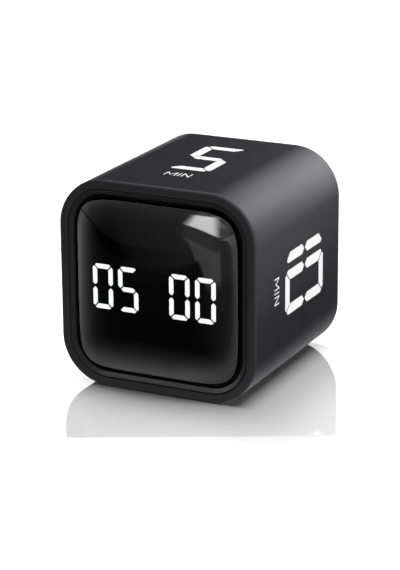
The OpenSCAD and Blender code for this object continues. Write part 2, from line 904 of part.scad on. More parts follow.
module sound_slider() {
    top_z = cover_out_z - key_proud;
    ridges = 3;
    color([0.17, 0.17, 0.18]) place() difference() {
        union() {
            block(slider_x, -socket_row, slider_top_z, [slider_base[0], slider_base[1], slider_base_t]);
            block(slider_x, -socket_row, top_z, [grip[0], grip[1], slider_top_z - top_z]);
        }
        for (i = [0:ridges - 1]) {
            block(slider_x + (i - 1) * grip[0] / 4, -socket_row, top_z - eps,
                  [0.4, 2 * grip[1], 0.25 + eps]);
        }
    }
}

module usb_shell() {
    color(steel_colour) place() translate([0, -socket_row, 0]) difference() {
        at_level(usb_mouth_z, board_rear_z - usb_mouth_z) pill(usb_size[0], usb_size[1]);
        at_level(usb_mouth_z - eps, usb_depth + eps) {
            pill(usb_size[0] - 2 * usb_wall, usb_size[1] - 2 * usb_wall);
        }
    }
}

module usb_tongue() {
    color(chip_colour) place() block(0, -socket_row, usb_floor_z - 4.8, [6.7, 0.7, 4.8]);
}

module rear_cover() {
    color(shell_colour) place() difference() {
        union() {
            at_level(cover_out_z, cover_t) outline(sleeve_in - fit);
            for (spot = standoff_spots) {
                translate([spot[0], spot[1], cover_in_z - eps]) {
                    cylinder(r = standoff_r, h = standoff_h + eps);
                }
            }
        }
        at_level(cover_out_z - eps, cover_t + 2 * eps) {
            for (x = key_x) {
                translate([x, key_row]) circle(key_r + run);
            }
            for (i = [-2:2]) {
                translate([i * buzzer_r * 0.4, -buzzer_row]) rotate(90) pill(buzzer_r * 1.2, 1.2);
            }
            translate([slider_x, -socket_row]) {
                square([grip[0] + 2 * slider_travel + 2 * run, grip[1] + 2 * run], center = true);
            }
            translate([0, -socket_row]) pill(usb_size[0] + 2 * run, usb_size[1] + 2 * run);
            translate([-light_x, -socket_row]) circle(pipe_r + fit);
            for (spot = boss_spots) {
                translate(spot) circle(screw_hole_r);
            }
        }
        for (spot = boss_spots) {
            translate([spot[0], spot[1], cover_out_z - eps]) cylinder(r = 2.4, h = 1.2 + eps);
        }
        for (spot = standoff_spots) {
            translate([spot[0], spot[1], board_rear_z - 6]) {
                cylinder(r = board_screw_r + screw_fit, h = 6 + eps);
            }
        }
    }
}

module board_screws() {
    color(steel_colour) place() for (spot = standoff_spots) {
        translate([spot[0], spot[1], board_front_z]) mirror([0, 0, 1]) {
            screw(board_screw_r, board_t + 5, board_head_r, 1.3);
        }
    }
}

module cover_screws() {
    color(steel_colour) place() for (spot = boss_spots) {
        translate([spot[0], spot[1], cover_out_z + 1.2]) {
            screw(screw_r, cover_t - 1.2 + rear_boss_h - 1.5, 2.2, 1.1);
        }
    }
}

module top_marking() {
    color(white_colour) place() marking(0, top_minutes, ink_t);
}

module right_marking() {
    color(white_colour) place() marking(1, right_minutes, ink_t);
}

module bottom_marking() {
    color(white_colour) place() marking(2, bottom_minutes, ink_t);
}

module left_marking() {
    color(white_colour) place() marking(3, left_minutes, ink_t);
}

body_sleeve();
front_rim();
inner_bezel();
lens_gasket();
lens();
front_carrier();
display_reflector();
segments_lit();
segments_unlit();
display_board();
segment_leds();
display_driver();
display_screws();
carrier_screws();
battery_pads();
battery_cell();
protection_board();
battery_leads();
battery_socket();
ribbon_cable();
ribbon_sockets();
main_board();
timer_chip();
tilt_sensor();
charge_chip();
crystal();
buzzer();
charge_led();
light_pipe();
key_switches();
minute_plunger();
second_plunger();
start_plunger();
minute_key();
second_key();
start_key();
slide_switch();
slide_lever();
sound_slider();
usb_shell();
usb_tongue();
rear_cover();
board_screws();
cover_screws();
top_marking();
right_marking();
bottom_marking();
left_marking();
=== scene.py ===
"""Cube timer: smooth outer pieces, finishes and studio, built round the packed frame."""

import math

import bmesh
import bpy
import numpy as np
from bpy.props import FloatProperty, FloatVectorProperty, PointerProperty
from mathutils import Matrix, Vector


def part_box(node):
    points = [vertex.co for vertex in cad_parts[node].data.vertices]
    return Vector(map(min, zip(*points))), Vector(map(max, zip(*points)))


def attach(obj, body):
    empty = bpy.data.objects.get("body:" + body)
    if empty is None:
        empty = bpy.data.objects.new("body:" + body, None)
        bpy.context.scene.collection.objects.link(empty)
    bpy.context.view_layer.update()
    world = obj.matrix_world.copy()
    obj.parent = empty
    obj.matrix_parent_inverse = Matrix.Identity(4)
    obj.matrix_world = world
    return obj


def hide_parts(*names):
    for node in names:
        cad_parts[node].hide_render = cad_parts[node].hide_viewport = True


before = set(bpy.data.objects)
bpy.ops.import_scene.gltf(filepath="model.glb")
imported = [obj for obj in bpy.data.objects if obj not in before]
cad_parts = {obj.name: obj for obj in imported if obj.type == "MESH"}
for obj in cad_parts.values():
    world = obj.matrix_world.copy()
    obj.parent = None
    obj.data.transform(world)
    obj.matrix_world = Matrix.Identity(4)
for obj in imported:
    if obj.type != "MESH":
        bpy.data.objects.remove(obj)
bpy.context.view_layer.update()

bl_info = {
    "name": "Cube timer",
    "version": (1, 0, 0),
    "blender": (4, 5, 0),
    "location": "3D View > Sidebar > Cube timer",
    "description": "Builds the outer pieces, finishes and studio of a cube timer",
    "category": "Object",
}

MM = 0.001

# Places taken from the frame
SLEEVE, RIM, LENS, SLIDER = (
    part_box(n) for n in ("body_sleeve", "front_rim", "lens", "sound_slider")
)
HALF = SLEEVE[1].x
MID_Z = (SLEEVE[0].z + SLEEVE[1].z) / 2
RIM_Y = RIM[0].y
REAR_Y = SLEEVE[1].y
MID_Y = (RIM_Y + REAR_Y) / 2

# Body of each key, digits on each side in quarter turns from the top, and bars of each digit
KEYS = {"minute": "minute_button", "second": "second_button", "start": "start_button"}
SIDES = {"top": (5,), "right": (1, 0), "bottom": (3, 0), "left": (6, 0)}
BARS = {0: "abcdef", 1: "bc", 3: "abcdg", 5: "acdfg", 6: "acdefg"}

# Rings across the dome, round its edge and across a key's hollow
DOME_RINGS, EDGE_RINGS, DISH_RINGS = 56, 7, 14

# Refractive index of clear plastic
CLEAR_INDEX = 1.49

# Half width of the floor, and the reflection card's height over it
FLOOR_HALF, CARD_LIFT = 4.0, 0.3 * MM

# Panel that the dome mirrors: its distance, and its shift right and up in shares of that
PANEL_AWAY, PANEL_RIGHT, PANEL_UP = 0.2, -0.725, -0.065


def length(name, description, size):
    """A length property with its default in millimetres."""
    return FloatProperty(
        name=name, description=description, default=size * MM, min=0, unit="LENGTH", precision=5
    )


def angle(name, description, degrees):
    """An angle property with its default in degrees."""
    return FloatProperty(
        name=name, description=description, default=math.radians(degrees), unit="ROTATION"
    )


def number(name, description, value):
    """A property without a unit."""
    return FloatProperty(name=name, description=description, default=value, precision=5)


def colour(name, description, *rgb):
    """A colour property with its default in linear light."""
    return FloatVectorProperty(
        name=name, description=description, default=rgb, min=0, max=1, subtype="COLOR", size=3
    )


class TimerCaseSizes(bpy.types.PropertyGroup):
    """Sizes of the sleeve and of the rings round the lens."""

    corner_radius: length("Corner radius", "Outer radius of the sleeve's four long edges", 14.4)
    wall: length("Wall", "Thickness of the sleeve", 2.2)
    front_edge: length("Front edge", "Rounding of the sleeve's front edge", 0.3)
    rear_edge: length("Rear edge", "Rounding of the sleeve's rear edge", 0.8)
    front_mouth: length("Front mouth", "Rounding of the sleeve's inner front edge", 0.1)
    rear_mouth: length("Rear mouth", "Rounding of the sleeve's inner rear edge", 0.3)
    boss_radius: length("Boss radius", "Radius of the screw bosses in the corners", 3.0)
    boss_bore: length("Boss bore", "Radius of the bosses' bores", 1.2)
    boss_edge: length("Boss edge", "Rounding of the bosses' edges", 0.05)
    boss_gap: length("Boss gap", "From a boss to the inside of the corner", 1.0)
    front_boss: length("Front boss", "Length of the front bosses", 3.0)
    rear_boss: length("Rear boss", "Length of the rear bosses", 8.0)
    cover: length("Cover", "From the rear cover's face to the rear bosses", 2.0)
    web_w: length("Web width", "Width of the web between a boss and its corner", 3.0)
    web_root: length("Web root", "Web's reach into its boss", 0.45)
    web_reach: length("Web reach", "Web's reach from its boss into the corner", 1.6)
    rim_band: length("Rim band", "From the sleeve's outside to the rim's inner edge", 2.6)
    rim_inset: length("Rim inset", "Step from the sleeve's outside to the rim's", 0.15)
    rim_edge: length("Rim edge", "Rounding of the rim's outer edge", 0.45)
    rim_lip: length("Rim lip", "Rounding of the rim's inner edge", 0.14)
    spigot: length("Spigot", "Depth of the rim's spigot behind its face", 5.2)
    groove: length("Groove", "Fine gap between rim and inner bezel", 0.3)
    bezel_band: length("Bezel band", "From the rim to the bezel's inner edge", 1.65)
    bezel_drop: length("Bezel drop", "Bezel's outer edge behind the rim's face", 0.12)
    bezel_fall: length("Bezel fall", "Bezel's inner edge behind the rim's face", 0.8)
    bezel_edge: length("Bezel edge", "Rounding of the bezel's outer edge", 0.1)
    bezel_lip: length("Bezel lip", "Rounding of the bezel's inner edge", 0.25)
    seal_top: length("Seal level", "Top of the seal behind the rim's face", 1.7)
    seal_round: length("Seal round", "Rounding of the seal's top", 0.3)
    fit: length("Fit", "Clearance between pieces that fit together", 0.1)
    hidden_edge: length("Hidden edge", "Rounding of the rings' hidden edges", 0.04)


class TimerLensSizes(bpy.types.PropertyGroup):
    """Sizes of the domed window."""

    gap: length("Gap", "From the bezel's inner edge to the lens", 1.2)
    proud: length("Proud", "Top of the dome in front of the rim", (RIM_Y - LENS[0].y) / MM)
    edge: length("Edge", "Start of the dome behind the rim's face", 0.4)
    edge_round: length("Edge round", "Rounding of the dome's edge", 0.03)
    clear_edge: length("Clear edge", "Clear part of the side, from the dome's start", 0.02)
    wall: length("Wall", "Thickness of the lens", 1.1)
    seat: length("Seat", "Front of the flange behind the rim's face", 2.5)
    flange: length("Flange", "Thickness of the flange", 1.2)
    lap: length("Lap", "Flange's reach under the bezel", 0.55)


class TimerPrintSizes(bpy.types.PropertyGroup):
    """Sizes of the numerals and the word on the four sides."""

    numeral_w: length("Numeral width", "Width of one numeral", 13.4)
    numeral_h: length("Numeral height", "Height of one numeral", 27.2)
    stroke: length("Stroke", "Width of a numeral's bars", 3.05)
    gap: length("Gap", "Gap between two bars", 0.4)
    cut: number("Corner cut", "Cut of a numeral's corners as a share of the stroke", 0.6)
    bar_corner: length("Bar corner", "Rounding of the bars' corners", 0.22)
    space: length("Space", "Space between two numerals", 2.2)
    back: length("Set back", "Middle of the numerals behind the middle of the side", 4.0)
    word_ahead: length("Word ahead", "Middle of the word ahead of the middle of the side", 15.5)
    word_h: length("Word height", "Height of the word's letters", 3.3)
    word_stroke: length("Word stroke", "Width of the letters' strokes", 0.35)
    word_corner: length("Word corner", "Rounding of the letters' corners", 0.05)
    sunk: length("Sunk", "Depth of the ink in the sleeve", 0.15)
    raised: length("Raised", "Height of the ink over the sleeve", 0.02)


class TimerKeySizes(bpy.types.PropertyGroup):
    """Sizes of the rear keys and of the slider's grip."""

    radius: length("Radius", "Radius of a key's cap", 4.5)
    edge: length("Edge", "Rounding of a key's rim", 0.35)
    dish: length("Dish", "Depth of the hollow in a key's cap", 0.3)
    dish_radius: length("Dish radius", "Radius of the sphere that hollows the cap", 24.0)
    flange_radius: length("Flange radius", "Radius of the flange behind the cover", 5.3)
    flange_top: length("Flange top", "Cap's height over its flange", 2.85)
    flange: length("Flange", "Thickness of a key's flange", 1.0)
    flange_edge: length("Flange edge", "Rounding of the flange and the stem", 0.1)
    stem_radius: length("Stem radius", "Radius of the stem to the plunger", 2.0)
    grip_w: length("Grip width", "Width of the slider's grip", 4.0)
    grip_h: length("Grip height", "Height of the slider's grip", 3.0)
    grip_root: length("Grip root", "Grip's reach into the slider's plate", 0.2)
    grip_edge: length("Grip edge", "Rounding of the slider's edges", 0.07)
    plate_corner: length("Plate corner", "Rounding of the plate's corners", 0.5)
    rib_cut: length("Rib cut", "Width of the cuts across the grip", 0.4)
    rib_depth: length("Rib depth", "Depth of the cuts across the grip", 0.25)


class TimerColours(bpy.types.PropertyGroup):
    """Colours of the finishes."""

    shell: colour("Shell", "Sleeve and rear cover", 0.0118, 0.0113, 0.0165)
    band: colour("Band", "Front rim", 0.0175, 0.0175, 0.01876)
    trim: colour("Trim", "Bezel and display carrier", 0.0125, 0.0125, 0.0134)
    rubber: colour("Rubber", "Seal round the lens", 0.0025, 0.0025, 0.0025)
    smoke: colour("Smoke", "Tint of the lens", 0.10, 0.10, 0.102)
    ink: colour("Ink", "Numerals and word on the sides", 0.93, 0.93, 0.92)
    lit: colour("Lit bars", "Bars of the display that glow", 1.0, 1.0, 1.0)
    unlit: colour("Dark display", "Dark bars and the face round the bars", 0.002, 0.002, 0.002)
    key: colour("Keys", "Keys and slider", 0.0180, 0.0180, 0.0195)
    board: colour("Boards", "Solder mask of the circuit boards", 0.012, 0.085, 0.040)
    small_board: colour("Small board", "Board on the battery cell", 0.30, 0.17, 0.02)
    tin: colour("Tin", "Tinned spots on the boards", 0.62, 0.61, 0.58)
    phosphor: colour("Phosphor", "Fill of the small lamps", 0.85, 0.62, 0.10)
    lamp_case: colour("Lamp case", "Package of the small lamps", 0.85, 0.84, 0.80)
    epoxy: colour("Epoxy", "Chips, buzzer and socket tongue", 0.014, 0.014, 0.015)
    steel: colour("Steel", "Screws, crystal can and socket shell", 0.60, 0.60, 0.62)
    screw: colour("Black screws", "Screws of the rear cover", 0.035, 0.035, 0.038)
    pipe: colour("Light pipe", "Clear pipe of the charging light", 0.92, 0.94, 0.96)
    foil: colour("Foil", "Pouch of the battery cell", 0.68, 0.69, 0.71)
    foam: colour("Foam", "Pads at the battery cell", 0.78, 0.78, 0.74)
    red_lead: colour("Red lead", "Positive lead of the cell", 0.45, 0.012, 0.010)
    black_lead: colour("Black lead", "Negative lead of the cell", 0.012, 0.012, 0.012)
    connector: colour("Connectors", "Battery and ribbon sockets", 0.80, 0.76, 0.66)
    ribbon: colour("Ribbon", "Film of the ribbon cable", 0.80, 0.80, 0.77)
    conductor: colour("Conductors", "Lines in the ribbon cable", 0.42, 0.40, 0.36)
    switch: colour("Switches", "Bodies of the key switches", 0.016, 0.016, 0.017)
    plunger: colour("Plungers", "Plungers and slide lever", 0.72, 0.72, 0.68)
    floor: colour("Floor", "Studio floor", 0.95, 0.95, 0.95)
    room: colour("Room", "Light from all round", 0.06, 0.06, 0.061)


class TimerCamera(bpy.types.PropertyGroup):
    """Place and aim of the camera."""

    turn: angle("Turn", "Turn to the right of the front", 26.2302)
    rise: angle("Rise", "Rise over the floor", 17.9291)
    roll: angle("Roll", "Roll about the view", -0.4447)
    away: number("Distance", "Distance from the aim in widths of the case", 10.63778)
    aim_right: number("Aim right", "Aim right of the middle in widths of the case", -0.013887)
    aim_up: number("Aim up", "Aim over the middle in widths of the case", -0.103243)
    focal: number("Focal length", "Focal length in millimetres", 140.84)
    sensor: number("Sensor", "Width of the sensor in millimetres", 36)


def rounded(corners, radius, steps):
    """Closed outline whose corners are arcs tangent to both edges.

    An arc's centre lies on the corner's bisector, at radius over the sine of half the corner's
    angle; the arc turns from one edge's tangent point to the other's. No arc takes more than
    0.45 of an edge.
    """
    p = np.asarray(corners, float)
    behind, ahead = np.roll(p, 1, 0) - p, np.roll(p, -1, 0) - p
    behind_len, ahead_len = np.linalg.norm(behind, axis=1), np.linalg.norm(ahead, axis=1)
    a, b = behind / behind_len[:, None], ahead / ahead_len[:, None]
    half = np.arccos(np.clip((a * b).sum(1), -1, 1)) / 2
    most = 0.45 * np.minimum(behind_len, ahead_len)
    reach = np.minimum(np.asarray(radius) / np.tan(half), most)
    r = (reach * np.tan(half))[:, None]
    bisector = (a + b) / np.linalg.norm(a + b, axis=1)[:, None]
    centre = p + bisector * r / np.sin(half)[:, None]
    start, end = (p + a * reach[:, None] - centre) / r, (p + b * reach[:, None] - centre) / r
    sweep = (math.pi - 2 * half)[:, None, None]
    t = np.linspace(0, 1, steps)[None, :, None]
    arc = np.sin((1 - t) * sweep) * start[:, None] + np.sin(t * sweep) * end[:, None]
    return (centre[:, None] + r[:, None] * arc / np.sin(sweep)).reshape(-1, 2)


def grid_faces(rows, cols, close_rows=False):
    """Quads of a grid whose columns run round in a ring and whose rows may close too."""
    r = np.arange(rows if close_rows else rows - 1)[:, None]
    c = np.arange(cols)[None, :]
    r2, c2 = (r + 1) % rows, (c + 1) % cols
    quads = np.stack([r * cols + c, r * cols + c2, r2 * cols + c2, r2 * cols + c], -1)
    return quads.reshape(-1, 4).tolist()


def around(profile, core, steps=40):
    """Profile of (distance, depth) carried round the rounded square of the case.

    A point at turn t lies at its corner's centre plus distance times (cos t, sin t); each corner
    takes a quarter turn and straight runs join the corners.
    """
    quarter = np.arange(4)
    turn = np.radians(np.linspace(0, 90, steps)[None] + 90 * quarter[:, None]).ravel()
    middle = np.radians(45 + 90 * quarter).repeat(steps)
    distance, depth = profile[:, 0, None], profile[:, 1, None]
    x = core * np.sign(np.cos(middle)) + distance * np.cos(turn)
    z = MID_Z + core * np.sign(np.sin(middle)) + distance * np.sin(turn)
    points = np.stack([x, np.broadcast_to(depth, x.shape), z], -1)
    return points.reshape(-1, 3), grid_faces(len(profile), 4 * steps, True)


def turned(profile, spot, closed=False, steps=72):
    """Profile of (radius, depth) turned about the line along Y through spot = (x, z)."""
    turn = np.linspace(0, 2 * math.pi, steps, endpoint=False)
    radius, depth = profile[:, 0, None], profile[:, 1, None]
    x, z = spot[0] + radius * np.cos(turn), spot[1] + radius * np.sin(turn)
    points = np.stack([x, np.broadcast_to(depth, x.shape), z], -1)
    return points.reshape(-1, 3), grid_faces(len(profile), steps, closed)


def squircle_rings(rings, steps=288):
    """Rings of (half width, depth, power): each is the curve |x|^power + |z|^power = half^power,
    met at equal turns round the middle of the front."""
    half, depth, power = (rings[:, i, None] for i in range(3))
    turn = np.linspace(0, 2 * math.pi, steps, endpoint=False)
    c, s = np.cos(turn), np.sin(turn)
    reach = half / (np.abs(c) ** power + np.abs(s) ** power) ** (1 / power)
    points = np.stack([reach * c, np.broadcast_to(depth, reach.shape), MID_Z + reach * s], -1)
    return points.reshape(-1, 3), grid_faces(len(rings), steps)


def prism(outline, low, high):
    """Outline (u, v) carried straight from level low to level high, with two flat ends."""
    n = len(outline)
    levels = np.repeat([low, high], n)[:, None]
    ends = [list(range(n)), list(range(n, 2 * n))]
    return np.hstack([np.vstack([outline, outline]), levels]), grid_faces(2, n) + ends


def bar_outline(bar, w, h, s, gap, cut):
    """Outline of one bar of a seven-bar numeral of width w, height h and stroke s.

    Bars meet on 45 degree mitres, each end set back by half the gap; the numeral's outer corners
    are cut by cut times the stroke, and the side bars come to a point at mid height.
    """
    c, k = cut * s, gap / math.sqrt(2)
    if bar == "g":
        tip, shoulder = (w - s) / 2 - k, w / 2 - s - k
        return np.array([(tip, 0), (shoulder, s / 2), (-shoulder, s / 2),
                         (-tip, 0), (-shoulder, -s / 2), (shoulder, -s / 2)])
    if bar in "ad":
        side = np.array([(w / 2 - c, h / 2), (w / 2 - (c + k) / 2, h / 2 - (c - k) / 2),
                         (w / 2 - s - k, h / 2 - s)])
        outline = np.vstack([side, side[::-1] * (-1, 1)])
        return outline * (1, 1 if bar == "a" else -1)
    outline = np.array([
        (w / 2, h / 2 - c), (w / 2 - (c - k) / 2, h / 2 - (c + k) / 2),
        (w / 2 - s, h / 2 - s - k), (w / 2 - s, s / 2 + k), ((w - s) / 2, k), (w / 2, s / 2 + k),
    ])
    return outline * (1 if bar in "bc" else -1, 1 if bar in "bf" else -1)


def word_outlines(h, t):
    """Outlines of the letters M, I and N, of height h and stroke t, centred as one word.

    Widths, space and the dip of the M are shares of the height; a slanted stroke is wider along
    the letter's top and foot than t.
    """
    m_w, n_w, space, dip = 1.06 * h, 0.78 * h, 0.24 * h, 0.2 * h
    slant = 1.2 * t
    m_slope, n_slope = 2 * (h - dip) / m_w, h / (n_w - slant)
    m = [(0, 0), (0, h), (slant, h), (m_w / 2, dip + slant * m_slope), (m_w - slant, h),
         (m_w, h), (m_w, 0), (m_w - t, 0), (m_w - t, h - t * m_slope), (m_w / 2, dip),
         (t, h - t * m_slope), (t, 0)]
    i = [(0, 0), (t, 0), (t, h), (0, h)]
    n = [(0, 0), (0, h), (slant, h), (n_w - t, t * n_slope), (n_w - t, h),
         (n_w, h), (n_w, 0), (n_w - slant, 0), (t, h - t * n_slope), (t, 0)]
    left = -(m_w + n_w + t) / 2 - space
    starts = (left, left + m_w + space, left + m_w + t + 2 * space)
    return [np.array(letter) + (x, -h / 2) for letter, x in zip((m, i, n), starts)]


def piece(name, parts, body, slot, look, *nodes, sharp=40, bevel=0.0):
    """One object from closed surfaces given as (points, faces): doubles merged, faces turned
    outwards, smooth but for edges sharper than sharp degrees, and put on its body."""
    starts = np.cumsum([0] + [len(points) for points, _ in parts])
    faces = [
        [int(i + start) for i in face] for (_, group), start in zip(parts, starts) for face in group
    ]
    mesh = bpy.data.meshes.new(name)
    mesh.from_pydata(np.vstack([points for points, _ in parts]).tolist(), [], faces)
    work = bmesh.new()
    work.from_mesh(mesh)
    bmesh.ops.remove_doubles(work, verts=work.verts[:], dist=1e-7)
    bmesh.ops.recalc_face_normals(work, faces=work.faces[:])
    work.to_mesh(mesh)
    work.free()
    mesh.shade_smooth()
    mesh.set_sharp_from_angle(angle=math.radians(sharp))
    mesh.materials.append(look)
    made = bpy.data.objects.new(name, mesh)
    bpy.context.scene.collection.objects.link(made)
    if bevel:
        edge = made.modifiers.new("edge", "BEVEL")
        edge.width, edge.segments = bevel, 3
        edge.limit_method, edge.angle_limit = "ANGLE", math.radians(50)
    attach(made, body)
    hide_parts(*nodes)


def dress(look, *nodes):
    """Give carried-over nodes a finish."""
    for name in nodes:
        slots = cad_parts[name].data.materials
        slots.clear()
        slots.append(look)


class Shade:
    """A socket in a node tree. Arithmetic on it adds Math nodes; node() adds any other node."""

    def __init__(self, tree, socket=None):
        self.tree, self.socket = tree, socket

    def node(self, kind, settings=None, inputs=None, out=0):
        """Add a node: its settings are set first, then each input gets its value or link."""
        made = self.tree.nodes.new("ShaderNode" + kind)
        for key, value in (settings or {}).items():
            setattr(made, key, value)
        for key, value in (inputs or {}).items():
            if isinstance(value, Shade):
                self.tree.links.new(value.socket, made.inputs[key])
            else:
                made.inputs[key].default_value = value
        return Shade(self.tree, made.outputs[out] if made.outputs else None)

    def math(self, operation, *values):
        """Add a Math node on values."""
        return self.node("Math", {"operation": operation}, dict(enumerate(values)))

    def __add__(self, other):
        return self.math("ADD", self, other)

    def __radd__(self, other):
        return self.math("ADD", other, self)

    def __sub__(self, other):
        return self.math("SUBTRACT", self, other)

    def __rsub__(self, other):
        return self.math("SUBTRACT", other, self)

    def __neg__(self):
        return self.math("SUBTRACT", 0, self)

    def __mul__(self, other):
        return self.math("MULTIPLY", self, other)

    def __rmul__(self, other):
        return self.math("MULTIPLY", other, self)

    def __truediv__(self, other):
        return self.math("DIVIDE", self, other)

    def __lt__(self, other):
        return self.math("LESS_THAN", self, other)

    def __gt__(self, other):
        return self.math("GREATER_THAN", self, other)

    def __abs__(self):
        return self.math("ABSOLUTE", self)

    def exp(self):
        """The number e to this power."""
        return self.math("EXPONENT", self)

    def least(self, other):
        """The smaller of two values."""
        return self.math("MINIMUM", self, other)

    def most(self, other):
        """The larger of two values."""
        return self.math("MAXIMUM", self, other)

    def axes(self):
        """The three parts of a vector."""
        split = self.node("SeparateXYZ", None, {"Vector": self})
        return [Shade(self.tree, s) for s in split.socket.node.outputs]

    def step(self, low, high):
        """Smooth rise from 0 at low to 1 at high."""
        ends = {"Value": self, "From Min": low, "From Max": high}
        return self.node("MapRange", {"interpolation_type": "SMOOTHSTEP"}, ends)

    def blend(self, low, high):
        """Colour between low and high by this value; either may be a number triple or a colour."""
        low, high = (c if isinstance(c, Shade) else (*c, 1) for c in (low, high))
        return self.node("Mix", {"data_type": "RGBA"}, {0: self, 6: low, 7: high}, 2)

    def noise(self, size, detail=2.0, stretch=(1, 1, 1)):
        """Noise from 0 to 1 at this place, with features of about the given size in metres."""
        place = self
        if stretch != (1, 1, 1):
            place = self.node("VectorMath", {"operation": "MULTIPLY"}, {0: self, 1: stretch})
        return self.node("TexNoise", None, {"Vector": place, "Scale": 1 / size, "Detail": detail})

    def cells(self, size, feature="F1"):
        """Distance in a cell pattern of the given size: to the cell's middle, or to its edge."""
        inputs = {"Vector": self, "Scale": 1 / size}
        return self.node("TexVoronoi", {"feature": feature}, inputs, "Distance")

    def bump(self, depth, edge=0.0):
        """Normal that this height (0 to 1) gives over a depth in metres, edges rounded by edge."""
        inputs = {"Height": self, "Strength": 1.0, "Distance": depth}
        if edge:
            inputs["Normal"] = self.node("Bevel", {"samples": 6}, {"Radius": edge})
        return self.node("Bump", None, inputs, "Normal")

    def surface(self, **inputs):
        """Principled shader; an input's name is written with _ for a space."""
        named = {k.replace("_", " "): v for k, v in inputs.items()}
        return self.node("BsdfPrincipled", None, named)


def finish(name, build, *colours, **values):
    """Material whose shader is what build makes of the place on the object, of colours and of
    values. A finish that exists by that name is used again."""
    made = bpy.data.materials.get("timer_" + name)
    if made is None:
        made = bpy.data.materials.new("timer_" + name)
        made.use_nodes = True
        made.node_tree.nodes.clear()
        here = Shade(made.node_tree).node("TexCoord", out="Object")
        here.node("OutputMaterial", None, {"Surface": build(here, *colours, **values)})
    return made


def times(rgb, factor):
    """Colour made lighter or darker by a factor, up to white."""
    return tuple(min(1.0, c * factor) for c in rgb)


def moulded(here, rgb, rough, grain, depth, gloss, edge=0.0):
    """Moulded plastic: eroded grain in the bump, a slow drift in colour and roughness. Grain,
    depth and edge are in millimetres."""
    drift, pores = here.noise(22 * MM, 3), here.noise(grain * MM, 3)
    mix = 0.65 * drift + 0.35 * pores
    return here.surface(
        Base_Color=mix.step(0.25, 0.75).blend(times(rgb, 0.86), times(rgb, 1.14)),
        Roughness=rough + 0.10 * (drift - 0.5) + 0.10 * (pores - 0.5),
        Specular_IOR_Level=gloss,
        Normal=pores.bump(depth * MM, edge * MM),
    )


def smoked(here, rgb, side):
    """Smoked clear plastic: a tint that drifts a little, a hard polish with the faintest haze, and
    blackened behind the depth side."""
    drift = here.noise(15 * MM, 2)
    _, y, _ = here.axes()
    tint = drift.step(0.3, 0.7).blend(times(rgb, 0.96), times(rgb, 1.04))
    black = y > side
    return here.surface(
        Base_Color=black.blend(tint, (0, 0, 0)),
        Metallic=black,
        Roughness=0.006 + 0.006 * drift + 0.5 * black,
        IOR=CLEAR_INDEX,
        Transmission_Weight=1.0,
    )


def printed(here, rgb):
    """Screen-printed ink: even white with a trace of mesh texture."""
    film, mesh = here.noise(3 * MM, 3), here.noise(0.18 * MM, 1)
    return here.surface(
        Base_Color=film.step(0.3, 0.7).blend(times(rgb, 0.97), rgb),
        Roughness=0.42 + 0.12 * (mesh - 0.5),
        Specular_IOR_Level=0.35,
        Normal=mesh.bump(0.004 * MM),
    )


def glowing(here, rgb, strength):
    """Diffuser bar lit from behind: even, a little brighter in small random patches."""
    patch = here.noise(2.2 * MM, 1)
    return here.surface(
        Base_Color=patch.blend(times(rgb, 0.75), times(rgb, 0.85)),
        Roughness=0.5 + 0.1 * (patch - 0.5),
        Emission_Color=patch.step(0.2, 0.8).blend(times(rgb, 0.92), rgb),
        Emission_Strength=strength,
    )


def circuit(here, rgb, tin):
    """Circuit board: solder mask over copper tracks, with tinned spots."""
    tracks = 1 - here.cells(4.2 * MM, "DISTANCE_TO_EDGE").step(0.03, 0.07)
    spots = here.cells(2.6 * MM) < 0.16
    mask = tracks.blend(rgb, times(rgb, 2.0))
    weave = here.noise(0.4 * MM, 2)
    return here.surface(
        Base_Color=spots.blend(mask, tin),
        Metallic=0.9 * spots,
        Roughness=0.30 + 0.12 * weave,
        Normal=(tracks + 0.3 * weave).bump(0.02 * MM),
    )


def metal(here, rgb, rough, stretch=(1, 1, 12)):
    """Drawn metal: fine streaks along one direction in roughness and bump."""
    streak, stain = here.noise(0.5 * MM, 3, stretch), here.noise(6 * MM, 3)
    return here.surface(
        Base_Color=stain.step(0.3, 0.7).blend(times(rgb, 0.85), times(rgb, 1.08)),
        Metallic=1.0,
        Roughness=rough + 0.16 * (streak - 0.5) + 0.08 * (stain - 0.5),
        Normal=streak.bump(0.004 * MM, 0.06 * MM),
    )


def pouch(here, rgb):
    """Laminated foil pouch: soft creases and a satin metal face."""
    crease = here.cells(5 * MM, "DISTANCE_TO_EDGE").step(0.0, 0.10)
    wave = here.noise(4 * MM, 4)
    return here.surface(
        Base_Color=wave.step(0.3, 0.7).blend(times(rgb, 0.82), rgb),
        Metallic=0.85,
        Roughness=0.34 + 0.16 * (wave - 0.5),
        Normal=(0.4 * crease + wave).bump(0.10 * MM),
    )


def foam(here, rgb):
    """Open-cell foam: small round cells as pits, their colour darkened towards each pit's middle as
    painted shade.
    """
    cell = here.cells(0.5 * MM)
    return here.surface(
        # Painted shade: the base colour falls to 0.7 towards the middle of each pit, where the bump
        # is lowest.
        Base_Color=cell.step(0.1, 0.7).blend(times(rgb, 0.7), rgb),
        Roughness=0.9 - 0.1 * cell,
        Specular_IOR_Level=0.1,
        Normal=cell.bump(0.15 * MM),
    )


def lead_pair(here, red, black, turn_y, front_x, rear_x):
    """Two insulated wires told apart by their side of the pair, before and behind their jog."""
    x, y, _ = here.axes()
    ahead = y < turn_y
    is_red = ahead * (x < front_x) + (1 - ahead) * (x < rear_x)
    skin = here.noise(0.8 * MM, 2)
    return here.surface(
        Base_Color=is_red.blend(black, red),
        Roughness=0.38 + 0.14 * (skin - 0.5),
        Normal=skin.bump(0.01 * MM),
    )


def striped(here, rgb, dark, pitch):
    """Flat flexible strip: conductors show as darker lines along its length."""
    _, _, z = here.axes()
    from_line = abs(here.math("PINGPONG", z, pitch / 2) - pitch / 4)
    line = from_line.step(pitch * 0.05, pitch * 0.12)
    film = here.noise(1.5 * MM, 2)
    return here.surface(
        Base_Color=line.blend(dark, rgb),
        Roughness=0.36 + 0.14 * (film - 0.5),
        Normal=(line + 0.3 * film).bump(0.015 * MM),
    )


